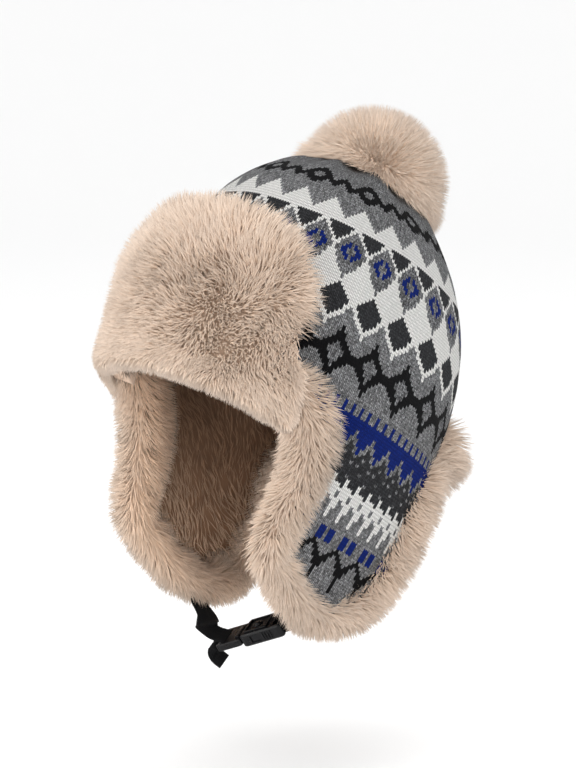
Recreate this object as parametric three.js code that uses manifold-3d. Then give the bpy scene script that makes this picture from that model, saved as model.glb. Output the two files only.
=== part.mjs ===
// Knitted aviator hat: a patterned knit crown with ear flaps, a turned-up fur brim, fur trims, a fur
// lining, a fur pompom and a webbing chin strap with a side-release buckle.
// Millimetres. +Z is up as the hat is worn, -Y is the face, +X is the wearer's left.
// The origin is where the head's top meets the lining inside the crown.
import * as THREE from 'three';
import { mergeVertices } from 'three/addons/utils/BufferGeometryUtils.js';
import Module from 'manifold-3d';

const wasm = await Module();
wasm.setup();

// Driving dimensions of the crown, measured to the outer face of the knit
const crown_half_width = 91.5;
const crown_front_reach = 98;
const crown_back_reach = 122;
const crown_height = 147;
const dome_power = 2.07;
const worn_tilt = THREE.MathUtils.degToRad(30);
const knit_thickness = 3.6;
const lining_thickness = 9;
const layer_gap = 0.3;
const fur_gap = 0.5;
const gather_depth = 2.2;
const gather_count = 8;
const gather_level = 0.25;
const gather_band = 0.5;

// The ear flaps hang from the brow line, which is the level where the dome ends
const flap_drop = 117;
const flap_tuck = 26;
const flap_flatness = 1.6;
const flap_easing = 1.2;
const brow_drop = 22;
const nape_rise = 8;

// Fur edges and brim
const trim_thickness = 27;
const nape_thickness = 32;
const trim_width = 22;
const trim_reach = 2;
const temple_cover = 20;
const cover_fade = 0.5;
const cover_lift = 0.12;
const lock_length = 8;
const brim_edge_power = 4;
const brim_top = 70;
const brim_half_turn = 64;
const brim_slant_turn = 10;
const brim_thickness = 15;
const brim_drop = 31;
const brim_foot = 3;
const brim_foot_swell = 0.45;
const brim_top_swell = 0.75;
const brim_lean = 0.8;
const brim_lean_aside = 1.3;

// Pompom
const pompom_diameter = 90;
const pompom_core_diameter = 68;
const pompom_rise = 1;
const pompom_set_back = 10;

// Chin strap and buckle
const webbing_width = 14;
const webbing_thickness = 1.5;
const strap_drop = 24;
const buckle_side = -1;
const buckle_back = 1;
const strap_tuck_in = 9;
const strap_clear = 3.5;
const strap_slack = 0.04;
const tail_length = 12;
const stitched_return = 11;
const stitched_rise = 0.2;
const webbing_corner = 1.3;
const lead_reach = 5;
const loose_lead = 9;
const stitched_lead = 1.6;
const doubled_share = 0.9;
const bar_overhang = 2;
const buckle_width = 20;
const buckle_length = 50;
const socket_length = 31;
const socket_thickness = 8.4;
const frame_thickness = 4.6;
const bar_width = 3;
const slot_width = 3.6;
const prong_reach = 14;
const prong_width = 3.2;
const fit_gap = 0.35;
const socket_wall = 2.5;
const socket_corner = 3;
const socket_bevel = 0.9;
const frame_corner = 2.5;
const frame_bevel = 0.5;
const prong_room = 3;
const window_start = 0.45;
const window_share = 0.4;
const barb_inset = 0.6;
const guide_half_width = 1;

// How finely the cloth walls are divided
const columns = 40;
const rows = 13;
const column_spread = 0.5;
const spread_power = 1.6;
const hem_steps = 240;
const trim_sides = 8;
const trim_stations = 20;
const nape_stations = 14;
const brim_columns = 14;
const brim_rows = 6;
const right_strap_rings = 44;
const left_strap_rings = 36;

// The hem of the knit from the middle of the brow round one side to the middle of the nape.
// turn is in degrees from the brow, drop is a share of flap_drop below the brow line.
const hem_table = [
  { turn: 0, drop: brow_drop / flap_drop },
  { turn: 30, drop: brow_drop / flap_drop },
  { turn: 60, drop: brow_drop / flap_drop },
  { turn: 72, drop: brow_drop / flap_drop + 0.05 },
  { turn: 81, drop: 0.38 },
  { turn: 86.5, drop: 0.58 },
  { turn: 88.5, drop: 0.77 },
  { turn: 91, drop: 0.92 },
  { turn: 95, drop: 0.985 },
  { turn: 101, drop: 1.0 },
  { turn: 109, drop: 0.95 },
  { turn: 117.5, drop: 0.85 },
  { turn: 124, drop: 0.7 },
  { turn: 128, drop: 0.5 },
  { turn: 131, drop: 0.28 },
  { turn: 136, drop: 0.12 },
  { turn: 143, drop: 0.03 },
  { turn: 154, drop: -nape_rise / flap_drop },
  { turn: 167, drop: -nape_rise / flap_drop },
  { turn: 180, drop: -nape_rise / flap_drop },
];

const mm_per_degree = (Math.PI / 180) * crown_half_width;

function signedPower(value, power) {
  return Math.sign(value) * Math.abs(value) ** power;
}

// A point on the knit's outer face. turn is in degrees from the brow, positive to the wearer's left.
// level is 0 at the crown's tip, 1 at the brow line and 2 at the bottom of the ear flaps.
function skin(turn, level) {
  const angle = THREE.MathUtils.degToRad(turn);
  let height = 0;
  let spread = 1;
  let power = 1;
  let width = crown_half_width;
  if (level <= 1) {
    const rise = (1 - level) * (Math.PI / 2);
    height = crown_height * Math.sin(rise) ** (2 / dome_power);
    spread = Math.max(Math.cos(rise), 0) ** (2 / dome_power);
    const gather = Math.max(0, Math.cos((Math.PI * (level - gather_level)) / gather_band));
    const fold = (1 + Math.cos(gather_count * angle)) / 2;
    spread = Math.max(spread - (gather_depth / crown_half_width) * gather * fold, 0);
  } else {
    const depth = (level - 1) ** flap_easing;
    height = -(level - 1) * flap_drop;
    width -= flap_tuck * depth;
    power = 2 / (2 + flap_flatness * depth);
  }
  const reach = Math.cos(angle) > 0 ? crown_front_reach : crown_back_reach;
  return new THREE.Vector3(
    width * spread * signedPower(Math.sin(angle), power),
    -reach * spread * signedPower(Math.cos(angle), power),
    height,
  );
}

// The outward normal of the knit's face
function skinNormal(turn, level) {
  const step = 0.02;
  if (level < step) {
    return new THREE.Vector3(0, 0, 1);
  }
  const round = skin(turn + 1, level).sub(skin(turn - 1, level));
  const down = skin(turn, level + step).sub(skin(turn, level - step));
  return down.cross(round).normalize();
}

function offsetSkin(turn, level, out) {
  return skin(turn, level).addScaledVector(skinNormal(turn, level), out);
}

// The level of the skin at a height above the brow line, or below it where the height is negative
function levelAt(height) {
  if (height < 0) {
    return 1 - height / flap_drop;
  }
  return 1 - Math.asin((height / crown_height) ** (dome_power / 2)) / (Math.PI / 2);
}

const hem_curve = new THREE.CatmullRomCurve3(
  hem_table.map((row) => new THREE.Vector3(row.turn * mm_per_degree, row.drop * flap_drop, 0)),
  false,
  'centripetal',
);

// The left half of the hem as turns and levels with the length run so far, for even steps along it
const hem_run = [];
for (let i = 0; i <= hem_steps; i += 1) {
  const point = hem_curve.getPoint(i / hem_steps);
  const here = { turn: point.x / mm_per_degree, level: 1 + point.y / flap_drop, length: 0 };
  if (i > 0) {
    const before = hem_run[i - 1];
    const step = skin(here.turn, here.level).distanceTo(skin(before.turn, before.level));
    here.length = before.length + step;
  }
  hem_run.push(here);
}

// Where the hem is at a way round the hat. The way is 0 at the brow, 1 at the nape and 2 at the brow
// again, by the wearer's left ear and back by the right one.
function hemAt(way) {
  const side = way > 1 ? -1 : 1;
  const share = Math.min(Math.max(way > 1 ? 2 - way : way, 0), 1);
  const length = share * hem_run[hem_steps].length;
  const found = hem_run.findIndex((step) => step.length >= length);
  const k = Math.max(found, 1);
  const before = hem_run[k - 1];
  const after = hem_run[k];
  const part = (length - before.length) / (after.length - before.length);
  return {
    turn: side * THREE.MathUtils.lerp(before.turn, after.turn, part),
    level: THREE.MathUtils.lerp(before.level, after.level, part),
  };
}

// Closed bodies from rings of points. Every ring has the same number of points and runs the same way.
// tuft gives the tip of the lock that stands on a face, or nothing where the face stays plain.
// turnBack is the ring where a wall's inside starts: its faces are split the way the outside's are.
function bodyFromRings(rings, { startCap, endCap, tuft, turnBack = Infinity } = {}) {
  const positions = [];
  const indices = [];
  const tips = [];
  const count = rings[0].length;
  rings.forEach((ring) => ring.forEach((p) => positions.push(p.x, p.y, p.z)));
  for (let i = 0; i + 1 < rings.length; i += 1) {
    for (let j = 0; j < count; j += 1) {
      const next = (j + 1) % count;
      const a = i * count + j;
      const b = i * count + next;
      const c = (i + 1) * count + next;
      const d = (i + 1) * count + j;
      const tip = tuft?.(i, j);
      if (tip) {
        tips.push(tip);
        indices.push(a, b, -tips.length, b, c, -tips.length, c, d, -tips.length, d, a, -tips.length);
      } else if (i >= turnBack) {
        indices.push(a, b, d, b, c, d);
      } else {
        indices.push(a, b, c, a, c, d);
      }
    }
  }
  const first_tip = positions.length / 3;
  tips.forEach((p) => positions.push(p.x, p.y, p.z));
  indices.forEach((value, k) => {
    if (value < 0) {
      indices[k] = first_tip - value - 1;
    }
  });
  const closeEnd = (ring, offset, point, flip) => {
    const centre = point ?? ring.reduce((sum, p) => sum.add(p), new THREE.Vector3()).divideScalar(count);
    const index = positions.length / 3;
    positions.push(centre.x, centre.y, centre.z);
    for (let j = 0; j < count; j += 1) {
      const next = (j + 1) % count;
      if (flip) {
        indices.push(index, offset + next, offset + j);
      } else {
        indices.push(index, offset + j, offset + next);
      }
    }
  };
  closeEnd(rings[0], 0, startCap, true);
  closeEnd(rings[rings.length - 1], (rings.length - 1) * count, endCap, false);
  const geometry = new THREE.BufferGeometry();
  geometry.setAttribute('position', new THREE.Float32BufferAttribute(positions, 3));
  geometry.setIndex(indices);
  return geometry;
}

function volumeOf(geometry) {
  const p = geometry.getAttribute('position');
  const index = geometry.getIndex();
  const corner = (k) => new THREE.Vector3().fromBufferAttribute(p, index.getX(k));
  let volume = 0;
  for (let k = 0; k < index.count; k += 3) {
    volume += corner(k).dot(corner(k + 1).cross(corner(k + 2))) / 6;
  }
  return volume;
}

// Turns a closed geometry right side out
function facingOut(geometry) {
  if (volumeOf(geometry) < 0) {
    const index = geometry.getIndex();
    for (let k = 0; k < index.count; k += 3) {
      const first = index.getX(k);
      index.setX(k, index.getX(k + 1));
      index.setX(k + 1, first);
    }
  }
  return geometry;
}

// A copy of a geometry that keeps only its positions
function bareGeometry(geometry) {
  const bare = geometry.clone();
  bare.deleteAttribute('normal');
  bare.deleteAttribute('uv');
  return bare;
}

function toSolid(geometry) {
  const merged = facingOut(mergeVertices(bareGeometry(geometry), 1e-4));
  return new wasm.Manifold(new wasm.Mesh({
    numProp: 3,
    vertProperties: new Float32Array(merged.getAttribute('position').array),
    triVerts: new Uint32Array(merged.getIndex().array),
  }));
}

function toGeometry(solid) {
  const mesh = solid.getMesh();
  const geometry = new THREE.BufferGeometry();
  geometry.setAttribute('position', new THREE.BufferAttribute(Float32Array.from(mesh.vertProperties), 3));
  geometry.setIndex(Array.from(mesh.triVerts));
  return geometry;
}

// The hem moved out over its edge by a distance, square to the way it runs
function grownHem(way, grow) {
  const hem = hemAt(way);
  const step = 0.01;
  if (grow > 0 && way > step && Math.abs(way - 1) > step) {
    const ahead = hemAt(way + step);
    const behind = hemAt(way - step);
    const run = new THREE.Vector2(
      (ahead.turn - behind.turn) * mm_per_degree,
      (ahead.level - behind.level) * flap_drop,
    ).setLength(grow);
    hem.turn -= run.y / mm_per_degree;
    hem.level += run.x / flap_drop;
  } else {
    hem.level += grow / flap_drop;
  }
  return hem;
}

// A ring round the hat at a share of the way from the crown's tip to the hem
function ringAt(share, out, hemGrow = 0) {
  const ring = [];
  for (let j = 0; j < columns; j += 1) {
    const way = (2 * j) / columns;
    const hem = grownHem(way, hemGrow);
    const even_turn = way > 1 ? (way - 2) * 180 : way * 180;
    const level = hem.level * share;
    const top_turn = hem.turn + (even_turn - hem.turn) * column_spread;
    const turn = top_turn + (hem.turn - top_turn) * share ** spread_power;
    ring.push(offsetSkin(turn, level, out));
  }
  return ring;
}

// One cloth layer of the hat between two offsets from the knit's outer face.
// Rings run down the outside from the crown's tip, turn in at the hem and run up the inside.
function clothLayer(outer, inner, hemGrow = 0) {
  const rings = [];
  for (let i = 1; i <= rows; i += 1) {
    rings.push(ringAt(i / rows, outer, hemGrow));
  }
  for (let i = rows; i >= 1; i -= 1) {
    rings.push(ringAt(i / rows, inner, hemGrow));
  }
  const tip = (out) => new THREE.Vector3(0, 0, crown_height + out);
  return bodyFromRings(rings, { startCap: tip(outer), endCap: tip(inner), turnBack: rows });
}

// The upper crown as a full body, out to the gap that the pompom keeps to it
function crownSpace() {
  const rings = [];
  for (let i = 1; i <= rows / 2; i += 1) {
    rings.push(ringAt(i / rows, fur_gap));
  }
  return toSolid(bodyFromRings(rings, { startCap: new THREE.Vector3(0, 0, crown_height + fur_gap) }));
}

const lining_outer = -(knit_thickness + layer_gap);
const lining_inner = lining_outer - lining_thickness;

// The space that the cloth walls take up, with the gap that every fur piece keeps to it
const wall_space = toSolid(clothLayer(fur_gap, lining_inner - fur_gap, fur_gap));

// The tip of a lock on a face of a ringed body: out along the way given from the face's middle
function lockTip(rings, i, j, way, length) {
  const next = (j + 1) % rings[i].length;
  const middle = rings[i][j].clone().add(rings[i][next]).add(rings[i + 1][next]).add(rings[i + 1][j]);
  return middle.divideScalar(4).addScaledVector(way, length);
}

// The fur edge from one way round the hat to another: an oval roll along the hem with locks on it.
// startCover is how far the roll reaches back over the knit where it starts.
function furEdge(fromWay, toWay, stations, thickness, startCover) {
  const rings = [];
  const ways = [];
  const delta = 0.006;
  for (let i = 0; i <= stations; i += 1) {
    const part = i / stations;
    const way = fromWay + (toWay - fromWay) * part;
    const hem = hemAt(way);
    const ahead = hemAt(way + delta);
    const behind = hemAt(way - delta);
    const normal = skinNormal(hem.turn, hem.level);
    const tangent = skin(ahead.turn, ahead.level).sub(skin(behind.turn, behind.level)).normalize();
    const beyond = tangent.clone().cross(normal).normalize();
    const cover = startCover * Math.max(0, 1 - part / cover_fade) ** 2;
    const centre = offsetSkin(hem.turn, hem.level, lining_inner / 2 + cover * cover_lift);
    centre.addScaledVector(beyond, trim_reach - cover / 2);
    const ring = [];
    const ring_ways = [];
    for (let k = 0; k < trim_sides; k += 1) {
      const angle = ((k + 0.5) / trim_sides) * Math.PI * 2;
      ring.push(centre.clone()
        .addScaledVector(normal, (Math.cos(angle) * thickness) / 2)
        .addScaledVector(beyond, (Math.sin(angle) * (trim_width + cover)) / 2));
      ring_ways.push(normal.clone().multiplyScalar(Math.cos(angle)).addScaledVector(beyond, Math.sin(angle)));
    }
    rings.push(ring);
    ways.push(ring_ways);
  }
  const plain_side = 5;
  const tuft = (i, j) => {
    const next = (j + 1) % trim_sides;
    const out = ways[i][j].clone().add(ways[i][next]).add(ways[i + 1][j]).normalize();
    return j === plain_side ? null : lockTip(rings, i, j, out, lock_length);
  };
  return toSolid(bodyFromRings(rings, { tuft })).subtract(wall_space);
}

// The turned-up brim: a fur pad over the brow that folds under the hem, with its fur in locks
function frontBrim(grow = 0) {
  const rings = [];
  const low = -brim_drop - grow;
  for (let i = 0; i <= brim_columns; i += 1) {
    const share = (2 * i) / brim_columns - 1;
    const edge = (1 + Math.sqrt(Math.max(0, 1 - Math.abs(share) ** brim_edge_power))) / 2;
    const high = low + (brim_top + brim_drop + 2 * grow) * edge;
    const at = (rise, out) => {
      const turn = share * (brim_half_turn - brim_slant_turn * rise + grow / mm_per_degree);
      return offsetSkin(turn, levelAt(low + (high - low) * rise), out);
    };
    const ring = [];
    for (let k = 0; k <= brim_rows; k += 1) {
      const rise = k / brim_rows;
      const round = Math.sqrt(Math.max(0, 1 - Math.abs(2 * rise - 1) ** 3));
      const swell = round * (brim_foot_swell + brim_top_swell * rise);
      ring.push(at(rise, brim_foot + (brim_thickness - brim_foot) * swell * edge + grow));
    }
    for (let k = brim_rows; k >= 0; k -= 2) {
      ring.push(at(k / brim_rows, k === 0 ? lining_inner - brim_foot : -knit_thickness / 2));
    }
    rings.push(ring);
  }
  const tuft = (i, j) => {
    if (j >= brim_rows) {
      return null;
    }
    const corners = [rings[i][j], rings[i][j + 1], rings[i + 1][j]];
    const out = corners[1].clone().sub(corners[0]).cross(corners[2].clone().sub(corners[0])).normalize();
    out.multiplyScalar(out.y < 0 ? 1 : -1);
    const aside = ((i + 0.5) / brim_columns - 0.5) * brim_lean_aside;
    const lean = new THREE.Vector3(aside, 0, (j + 0.5) / brim_rows - 0.5);
    return lockTip(rings, i, j, out.addScaledVector(lean, brim_lean).normalize(), lock_length + grow);
  };
  return toSolid(bodyFromRings(rings, { tuft })).subtract(wall_space);
}

// The pompom: a round head with a lock on each of its faces, seated on the crown's tip
function pompomBody() {
  const centre = new THREE.Vector3(0, pompom_set_back, crown_height + pompom_rise);
  const head = mergeVertices(bareGeometry(new THREE.IcosahedronGeometry(pompom_core_diameter / 2, 2)));
  const position = head.getAttribute('position');
  const index = head.getIndex();
  const positions = Array.from(position.array);
  const indices = [];
  for (let k = 0; k < index.count; k += 3) {
    const corners = [index.getX(k), index.getX(k + 1), index.getX(k + 2)];
    const tip = corners.reduce(
      (sum, c) => sum.add(new THREE.Vector3().fromBufferAttribute(position, c)),
      new THREE.Vector3(),
    );
    tip.setLength(pompom_diameter / 2);
    const e = positions.length / 3;
    positions.push(tip.x, tip.y, tip.z);
    corners.forEach((c, side) => indices.push(c, corners[(side + 1) % 3], e));
  }
  const geometry = new THREE.BufferGeometry();
  geometry.setAttribute('position', new THREE.Float32BufferAttribute(positions, 3));
  geometry.setIndex(indices);
  geometry.translate(centre.x, centre.y, centre.z);
  return toSolid(geometry).subtract(crownSpace());
}

// A point of the hat turned back as the hat is worn
function asWorn(point) {
  return point.applyAxisAngle(new THREE.Vector3(1, 0, 0), -worn_tilt);
}

// The buckle lies under the chin, nearer the wearer's left. Its own x runs from the prong half's
// frame to the socket half's end, y across the webbing and z to the chin.
const flap_end_turn = 102;
const flap_tip = asWorn(offsetSkin(flap_end_turn, 2, lining_inner / 2));
const buckle_centre = new THREE.Vector3(buckle_side, flap_tip.y + buckle_back, flap_tip.z - strap_drop);
const buckle_turn = THREE.MathUtils.degToRad(19);
const buckle_climb = THREE.MathUtils.degToRad(20.7);
const buckle_roll = THREE.MathUtils.degToRad(28);
const buckle_along = new THREE.Vector3(1, 0, 0)
  .applyAxisAngle(new THREE.Vector3(0, -1, 0), buckle_climb)
  .applyAxisAngle(new THREE.Vector3(0, 0, 1), buckle_turn);
const webbing_side = new THREE.Vector3(0, Math.cos(buckle_roll), Math.sin(buckle_roll));
const buckle_up = buckle_along.clone().cross(webbing_side).normalize();
const buckle_across = buckle_up.clone().cross(buckle_along);
const buckle_place = new THREE.Matrix4().makeBasis(buckle_along, buckle_across, buckle_up)
  .setPosition(buckle_centre);

function onBuckle(x, z) {
  return new THREE.Vector3(x, 0, z).applyMatrix4(buckle_place);
}

// A strip of webbing along a list of points, each with the way that the strip is wide there
function webbing(points, acrossAt, steps, thickened, grow = 0) {
  const curve = new THREE.CatmullRomCurve3(points, false, 'centripetal');
  const rings = [];
  for (let i = 0; i <= steps; i += 1) {
    const share = i / steps;
    const point = curve.getPoint(share);
    const along = curve.getTangent(share);
    const across = acrossAt(share);
    across.addScaledVector(along, -across.dot(along)).normalize();
    const up = along.clone().cross(across);
    const half_width = webbing_width / 2 + grow;
    const half_thickness = (webbing_thickness * (share > thickened ? 2 : 1)) / 2 + grow;
    rings.push([[1, 1], [-1, 1], [-1, -1], [1, -1]].map(([w, t]) => point.clone()
      .addScaledVector(across, w * half_width)
      .addScaledVector(up, t * half_thickness)));
  }
  return bodyFromRings(rings);
}

// The webbing goes down the slot of a buckle half and back under its end bar.
// end is -1 at the prong half and 1 at the socket half, lead is how high the webbing comes in.
const wrap = bar_width / 2 + fit_gap + webbing_thickness / 2;
function wrapPoints(end, lead) {
  const tip_x = buckle_length / 2;
  const slot_x = tip_x - bar_width - slot_width / 2;
  const corner_x = slot_x + webbing_corner;
  const corner_z = wrap - webbing_corner;
  return [
    [tip_x + lead_reach, wrap + lead],
    [tip_x + webbing_thickness, wrap + 0.4 * lead],
    [corner_x, wrap],
    [slot_x, corner_z],
    [slot_x, 0],
    [slot_x, -corner_z],
    [corner_x, -wrap],
    [tip_x + bar_overhang, -wrap],
  ].map(([x, z]) => onBuckle(end * x, z));
}

function strapPoints(side) {
  const start = asWorn(offsetSkin(side * flap_end_turn, 2, lining_inner / 2));
  start.add(asWorn(new THREE.Vector3(0, 0, -strap_clear)));
  const into_trim = start.clone().add(new THREE.Vector3(-side * strap_clear, 0, -strap_tuck_in));
  const bar = onBuckle((side * buckle_length) / 2, wrap * 2);
  const lower = into_trim.clone().lerp(bar, 0.5).add(new THREE.Vector3(0, 0, -strap_drop * strap_slack));
  return [start, into_trim, lower];
}

// The strip lies along the hem where it starts and turns flat to the buckle on its way there
const twist_share = 0.2;
function acrossStrap(share) {
  return asWorn(new THREE.Vector3(0, 1, 0)).lerp(buckle_across, Math.min(1, share / twist_share));
}

// The free tail past the prong half's bar: how far out and down it is, as shares of tail_length
const tail_table = [
  { out: 0.3, down: -0.2 },
  { out: 0.65, down: -0.2 },
  { out: 0.85, down: 0.15 },
  { out: 0.8, down: 0.55 },
  { out: 0.6, down: 0.95 },
];

function strapRight(grow = 0) {
  const tail = tail_table.map((row) => onBuckle(
    -buckle_length / 2 - row.out * tail_length,
    -wrap - row.down * tail_length,
  ));
  const points = [...strapPoints(-1), ...wrapPoints(-1, loose_lead), ...tail];
  return webbing(points, acrossStrap, right_strap_rings, doubled_share, grow);
}

function strapLeft(grow = 0) {
  const back = onBuckle(buckle_length / 2 + stitched_return, stitched_rise - wrap);
  const points = [...strapPoints(1), ...wrapPoints(1, stitched_lead), back];
  return webbing(points, acrossStrap, left_strap_rings, Infinity, grow);
}

// A plate outlined in the buckle's own x and y, spread evenly about z = 0
function plate(shape, thickness, bevel = 0) {
  const geometry = new THREE.ExtrudeGeometry(shape, {
    depth: thickness - 2 * bevel,
    curveSegments: 3,
    bevelEnabled: bevel > 0,
    bevelThickness: bevel,
    bevelSize: bevel,
    bevelOffset: -bevel,
    bevelSegments: 1,
  });
  geometry.translate(0, 0, -(thickness - 2 * bevel) / 2);
  return toSolid(geometry);
}

function roundedBox(fromX, toX, width, corner) {
  const shape = new THREE.Shape();
  const half = width / 2;
  shape.moveTo(fromX + corner, -half);
  shape.lineTo(toX - corner, -half);
  shape.quadraticCurveTo(toX, -half, toX, -half + corner);
  shape.lineTo(toX, half - corner);
  shape.quadraticCurveTo(toX, half, toX - corner, half);
  shape.lineTo(fromX + corner, half);
  shape.quadraticCurveTo(fromX, half, fromX, half - corner);
  shape.lineTo(fromX, -half + corner);
  shape.quadraticCurveTo(fromX, -half, fromX + corner, -half);
  return shape;
}

function box(fromX, toX, fromY, toY, thickness, middleZ = 0) {
  const geometry = new THREE.BoxGeometry(toX - fromX, toY - fromY, thickness);
  geometry.translate((fromX + toX) / 2, (fromY + toY) / 2, middleZ);
  return toSolid(geometry);
}

const half_length = buckle_length / 2;
const socket_mouth = half_length - socket_length;
const slot_length = webbing_width + 2 * fit_gap;
const cavity_width = buckle_width - 2 * socket_wall;
const cavity_height = frame_thickness;

// The socket half: a hollow body with a window in each side and a webbing slot behind its end bar
function buckleSocket() {
  const outline = roundedBox(socket_mouth, half_length, buckle_width, socket_corner);
  const outer = plate(outline, socket_thickness, socket_bevel);
  const depth = prong_reach + prong_room;
  const side = cavity_width / 2;
  const cavity = box(socket_mouth - 1, socket_mouth + depth, -side, side, cavity_height);
  const window_from = socket_mouth + depth * window_start;
  const window_to = window_from + depth * window_share;
  const windows = box(window_from, window_to, -buckle_width, buckle_width, cavity_height);
  const slot = box(half_length - bar_width - slot_width, half_length - bar_width, -slot_length / 2,
    slot_length / 2, socket_thickness * 2);
  const relief_from = half_length - bar_width - 0.01;
  const relief = (socket_thickness - bar_width) / 2;
  const over = box(relief_from, half_length + 1, -slot_length / 2, slot_length / 2, relief,
    (bar_width + relief) / 2);
  const under = box(relief_from, half_length + 1, -slot_length / 2, slot_length / 2, relief,
    -(bar_width + relief) / 2);
  return outer.subtract(cavity).subtract(windows).subtract(slot).subtract(over).subtract(under);
}

// The prong half: a frame with a webbing slot, two springy side prongs and a middle guide
function buckleProng() {
  const frame_end = socket_mouth - fit_gap;
  const outline = roundedBox(-half_length, frame_end, buckle_width, frame_corner);
  const frame = plate(outline, frame_thickness, frame_bevel);
  const slot = box(-half_length + bar_width, -half_length + bar_width + slot_width, -slot_length / 2,
    slot_length / 2, frame_thickness * 2);
  const relief = (frame_thickness - bar_width) / 2;
  const relief_to = -half_length + bar_width + 0.01;
  const over = box(-half_length - 1, relief_to, -slot_length / 2, slot_length / 2, relief,
    (bar_width + relief) / 2);
  const under = box(-half_length - 1, relief_to, -slot_length / 2, slot_length / 2, relief,
    -(bar_width + relief) / 2);
  const inside = cavity_width / 2 - fit_gap;
  const prong_height = cavity_height - 2 * fit_gap;
  const tip = socket_mouth + prong_reach;
  const prongs = [-1, 1].map((side) => {
    const edges = [side * inside, side * (inside - prong_width)].sort((a, b) => a - b);
    return box(frame_end - 1, tip, edges[0], edges[1], prong_height);
  });
  const overlap = 0.5;
  const depth = prong_reach + prong_room;
  const barb_from = socket_mouth + depth * window_start + fit_gap;
  const barb_length = depth * window_share - 2 * fit_gap;
  const barbs = [-1, 1].map((side) => {
    const far_side = side * (buckle_width / 2 - barb_inset);
    const edges = [side * (inside - overlap), far_side].sort((a, b) => a - b);
    return box(barb_from, barb_from + barb_length, edges[0], edges[1], prong_height);
  });
  const guide = box(frame_end - 1, tip - prong_room, -guide_half_width, guide_half_width, prong_height);
  const whole = [frame, ...prongs, ...barbs, guide].reduce((sum, solid) => sum.add(solid));
  return whole.subtract(slot).subtract(over).subtract(under);
}

const knit_colour = new THREE.MeshStandardMaterial({ color: 0x77797c, roughness: 0.95, metalness: 0 });
const lining_colour = new THREE.MeshStandardMaterial({ color: 0x6e5140, roughness: 0.95, metalness: 0 });
const fur_colour = new THREE.MeshStandardMaterial({ color: 0xd9c0a8, roughness: 0.95, metalness: 0 });
const webbing_colour = new THREE.MeshStandardMaterial({ color: 0x111112, roughness: 0.85, metalness: 0 });
const buckle_colour = new THREE.MeshStandardMaterial({ color: 0x161617, roughness: 0.45, metalness: 0 });

function mesh(name, geometry, material) {
  const body = new THREE.Mesh(geometry, material.clone());
  body.name = name;
  return body;
}

const seat_height = crown_height + lining_inner;
const group = new THREE.Group();
const hat = new THREE.Group();
hat.rotation.x = -worn_tilt;
hat.position.set(0, -seat_height * Math.sin(worn_tilt), -seat_height * Math.cos(worn_tilt));
group.add(hat);

hat.add(mesh('knit_shell', facingOut(clothLayer(0, -knit_thickness)), knit_colour));
hat.add(mesh('fur_lining', facingOut(clothLayer(lining_outer, lining_inner)), lining_colour));

const flap_start = 0.235;
const flap_end = 0.84;
const brim = frontBrim();
const brim_space = frontBrim(layer_gap);
const strap_space = toSolid(strapRight(layer_gap)).add(toSolid(strapLeft(layer_gap)));

// The straps are worked out as worn, so their place is turned to the hat's own before they cut it
const tilt_back = new THREE.Matrix4().makeRotationX(worn_tilt);
function inHatFrame(solid) {
  return toSolid(toGeometry(solid).applyMatrix4(tilt_back));
}

const strap_room = inHatFrame(strap_space);
hat.add(mesh('front_brim', toGeometry(brim), fur_colour));
const nape_start = flap_end + (1.5 * layer_gap) / hem_run[hem_steps].length;
const nape = furEdge(nape_start, 2 - nape_start, nape_stations, nape_thickness, 0);
for (const [name, from, to] of [
  ['flap_trim_left', flap_start, flap_end],
  ['flap_trim_right', 2 - flap_start, 2 - flap_end],
]) {
  const trim = furEdge(from, to, trim_stations, trim_thickness, temple_cover);
  hat.add(mesh(name, toGeometry(trim.subtract(brim_space).subtract(strap_room)), fur_colour));
}
hat.add(mesh('nape_trim', toGeometry(nape), fur_colour));
hat.add(mesh('pompom', toGeometry(pompomBody()), fur_colour));

const chin_strap = new THREE.Group();
chin_strap.position.copy(hat.position);
group.add(chin_strap);
chin_strap.add(mesh('strap_right', facingOut(strapRight()), webbing_colour));
chin_strap.add(mesh('strap_left', facingOut(strapLeft()), webbing_colour));
for (const [name, solid] of [['buckle_socket', buckleSocket()], ['buckle_prong', buckleProng()]]) {
  const half = mesh(name, toGeometry(solid), buckle_colour);
  half.applyMatrix4(buckle_place);
  chin_strap.add(half);
}

export default group;
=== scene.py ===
"""Looks of a knitted aviator hat with fur brim, trims, lining and pompom, and a buckled chin strap.

Lengths are in millimetres in the hat's own frame until a mesh is made, and in metres after that.
"""

import logging
import math
from collections.abc import Callable
from dataclasses import dataclass, field
from enum import Enum

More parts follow.
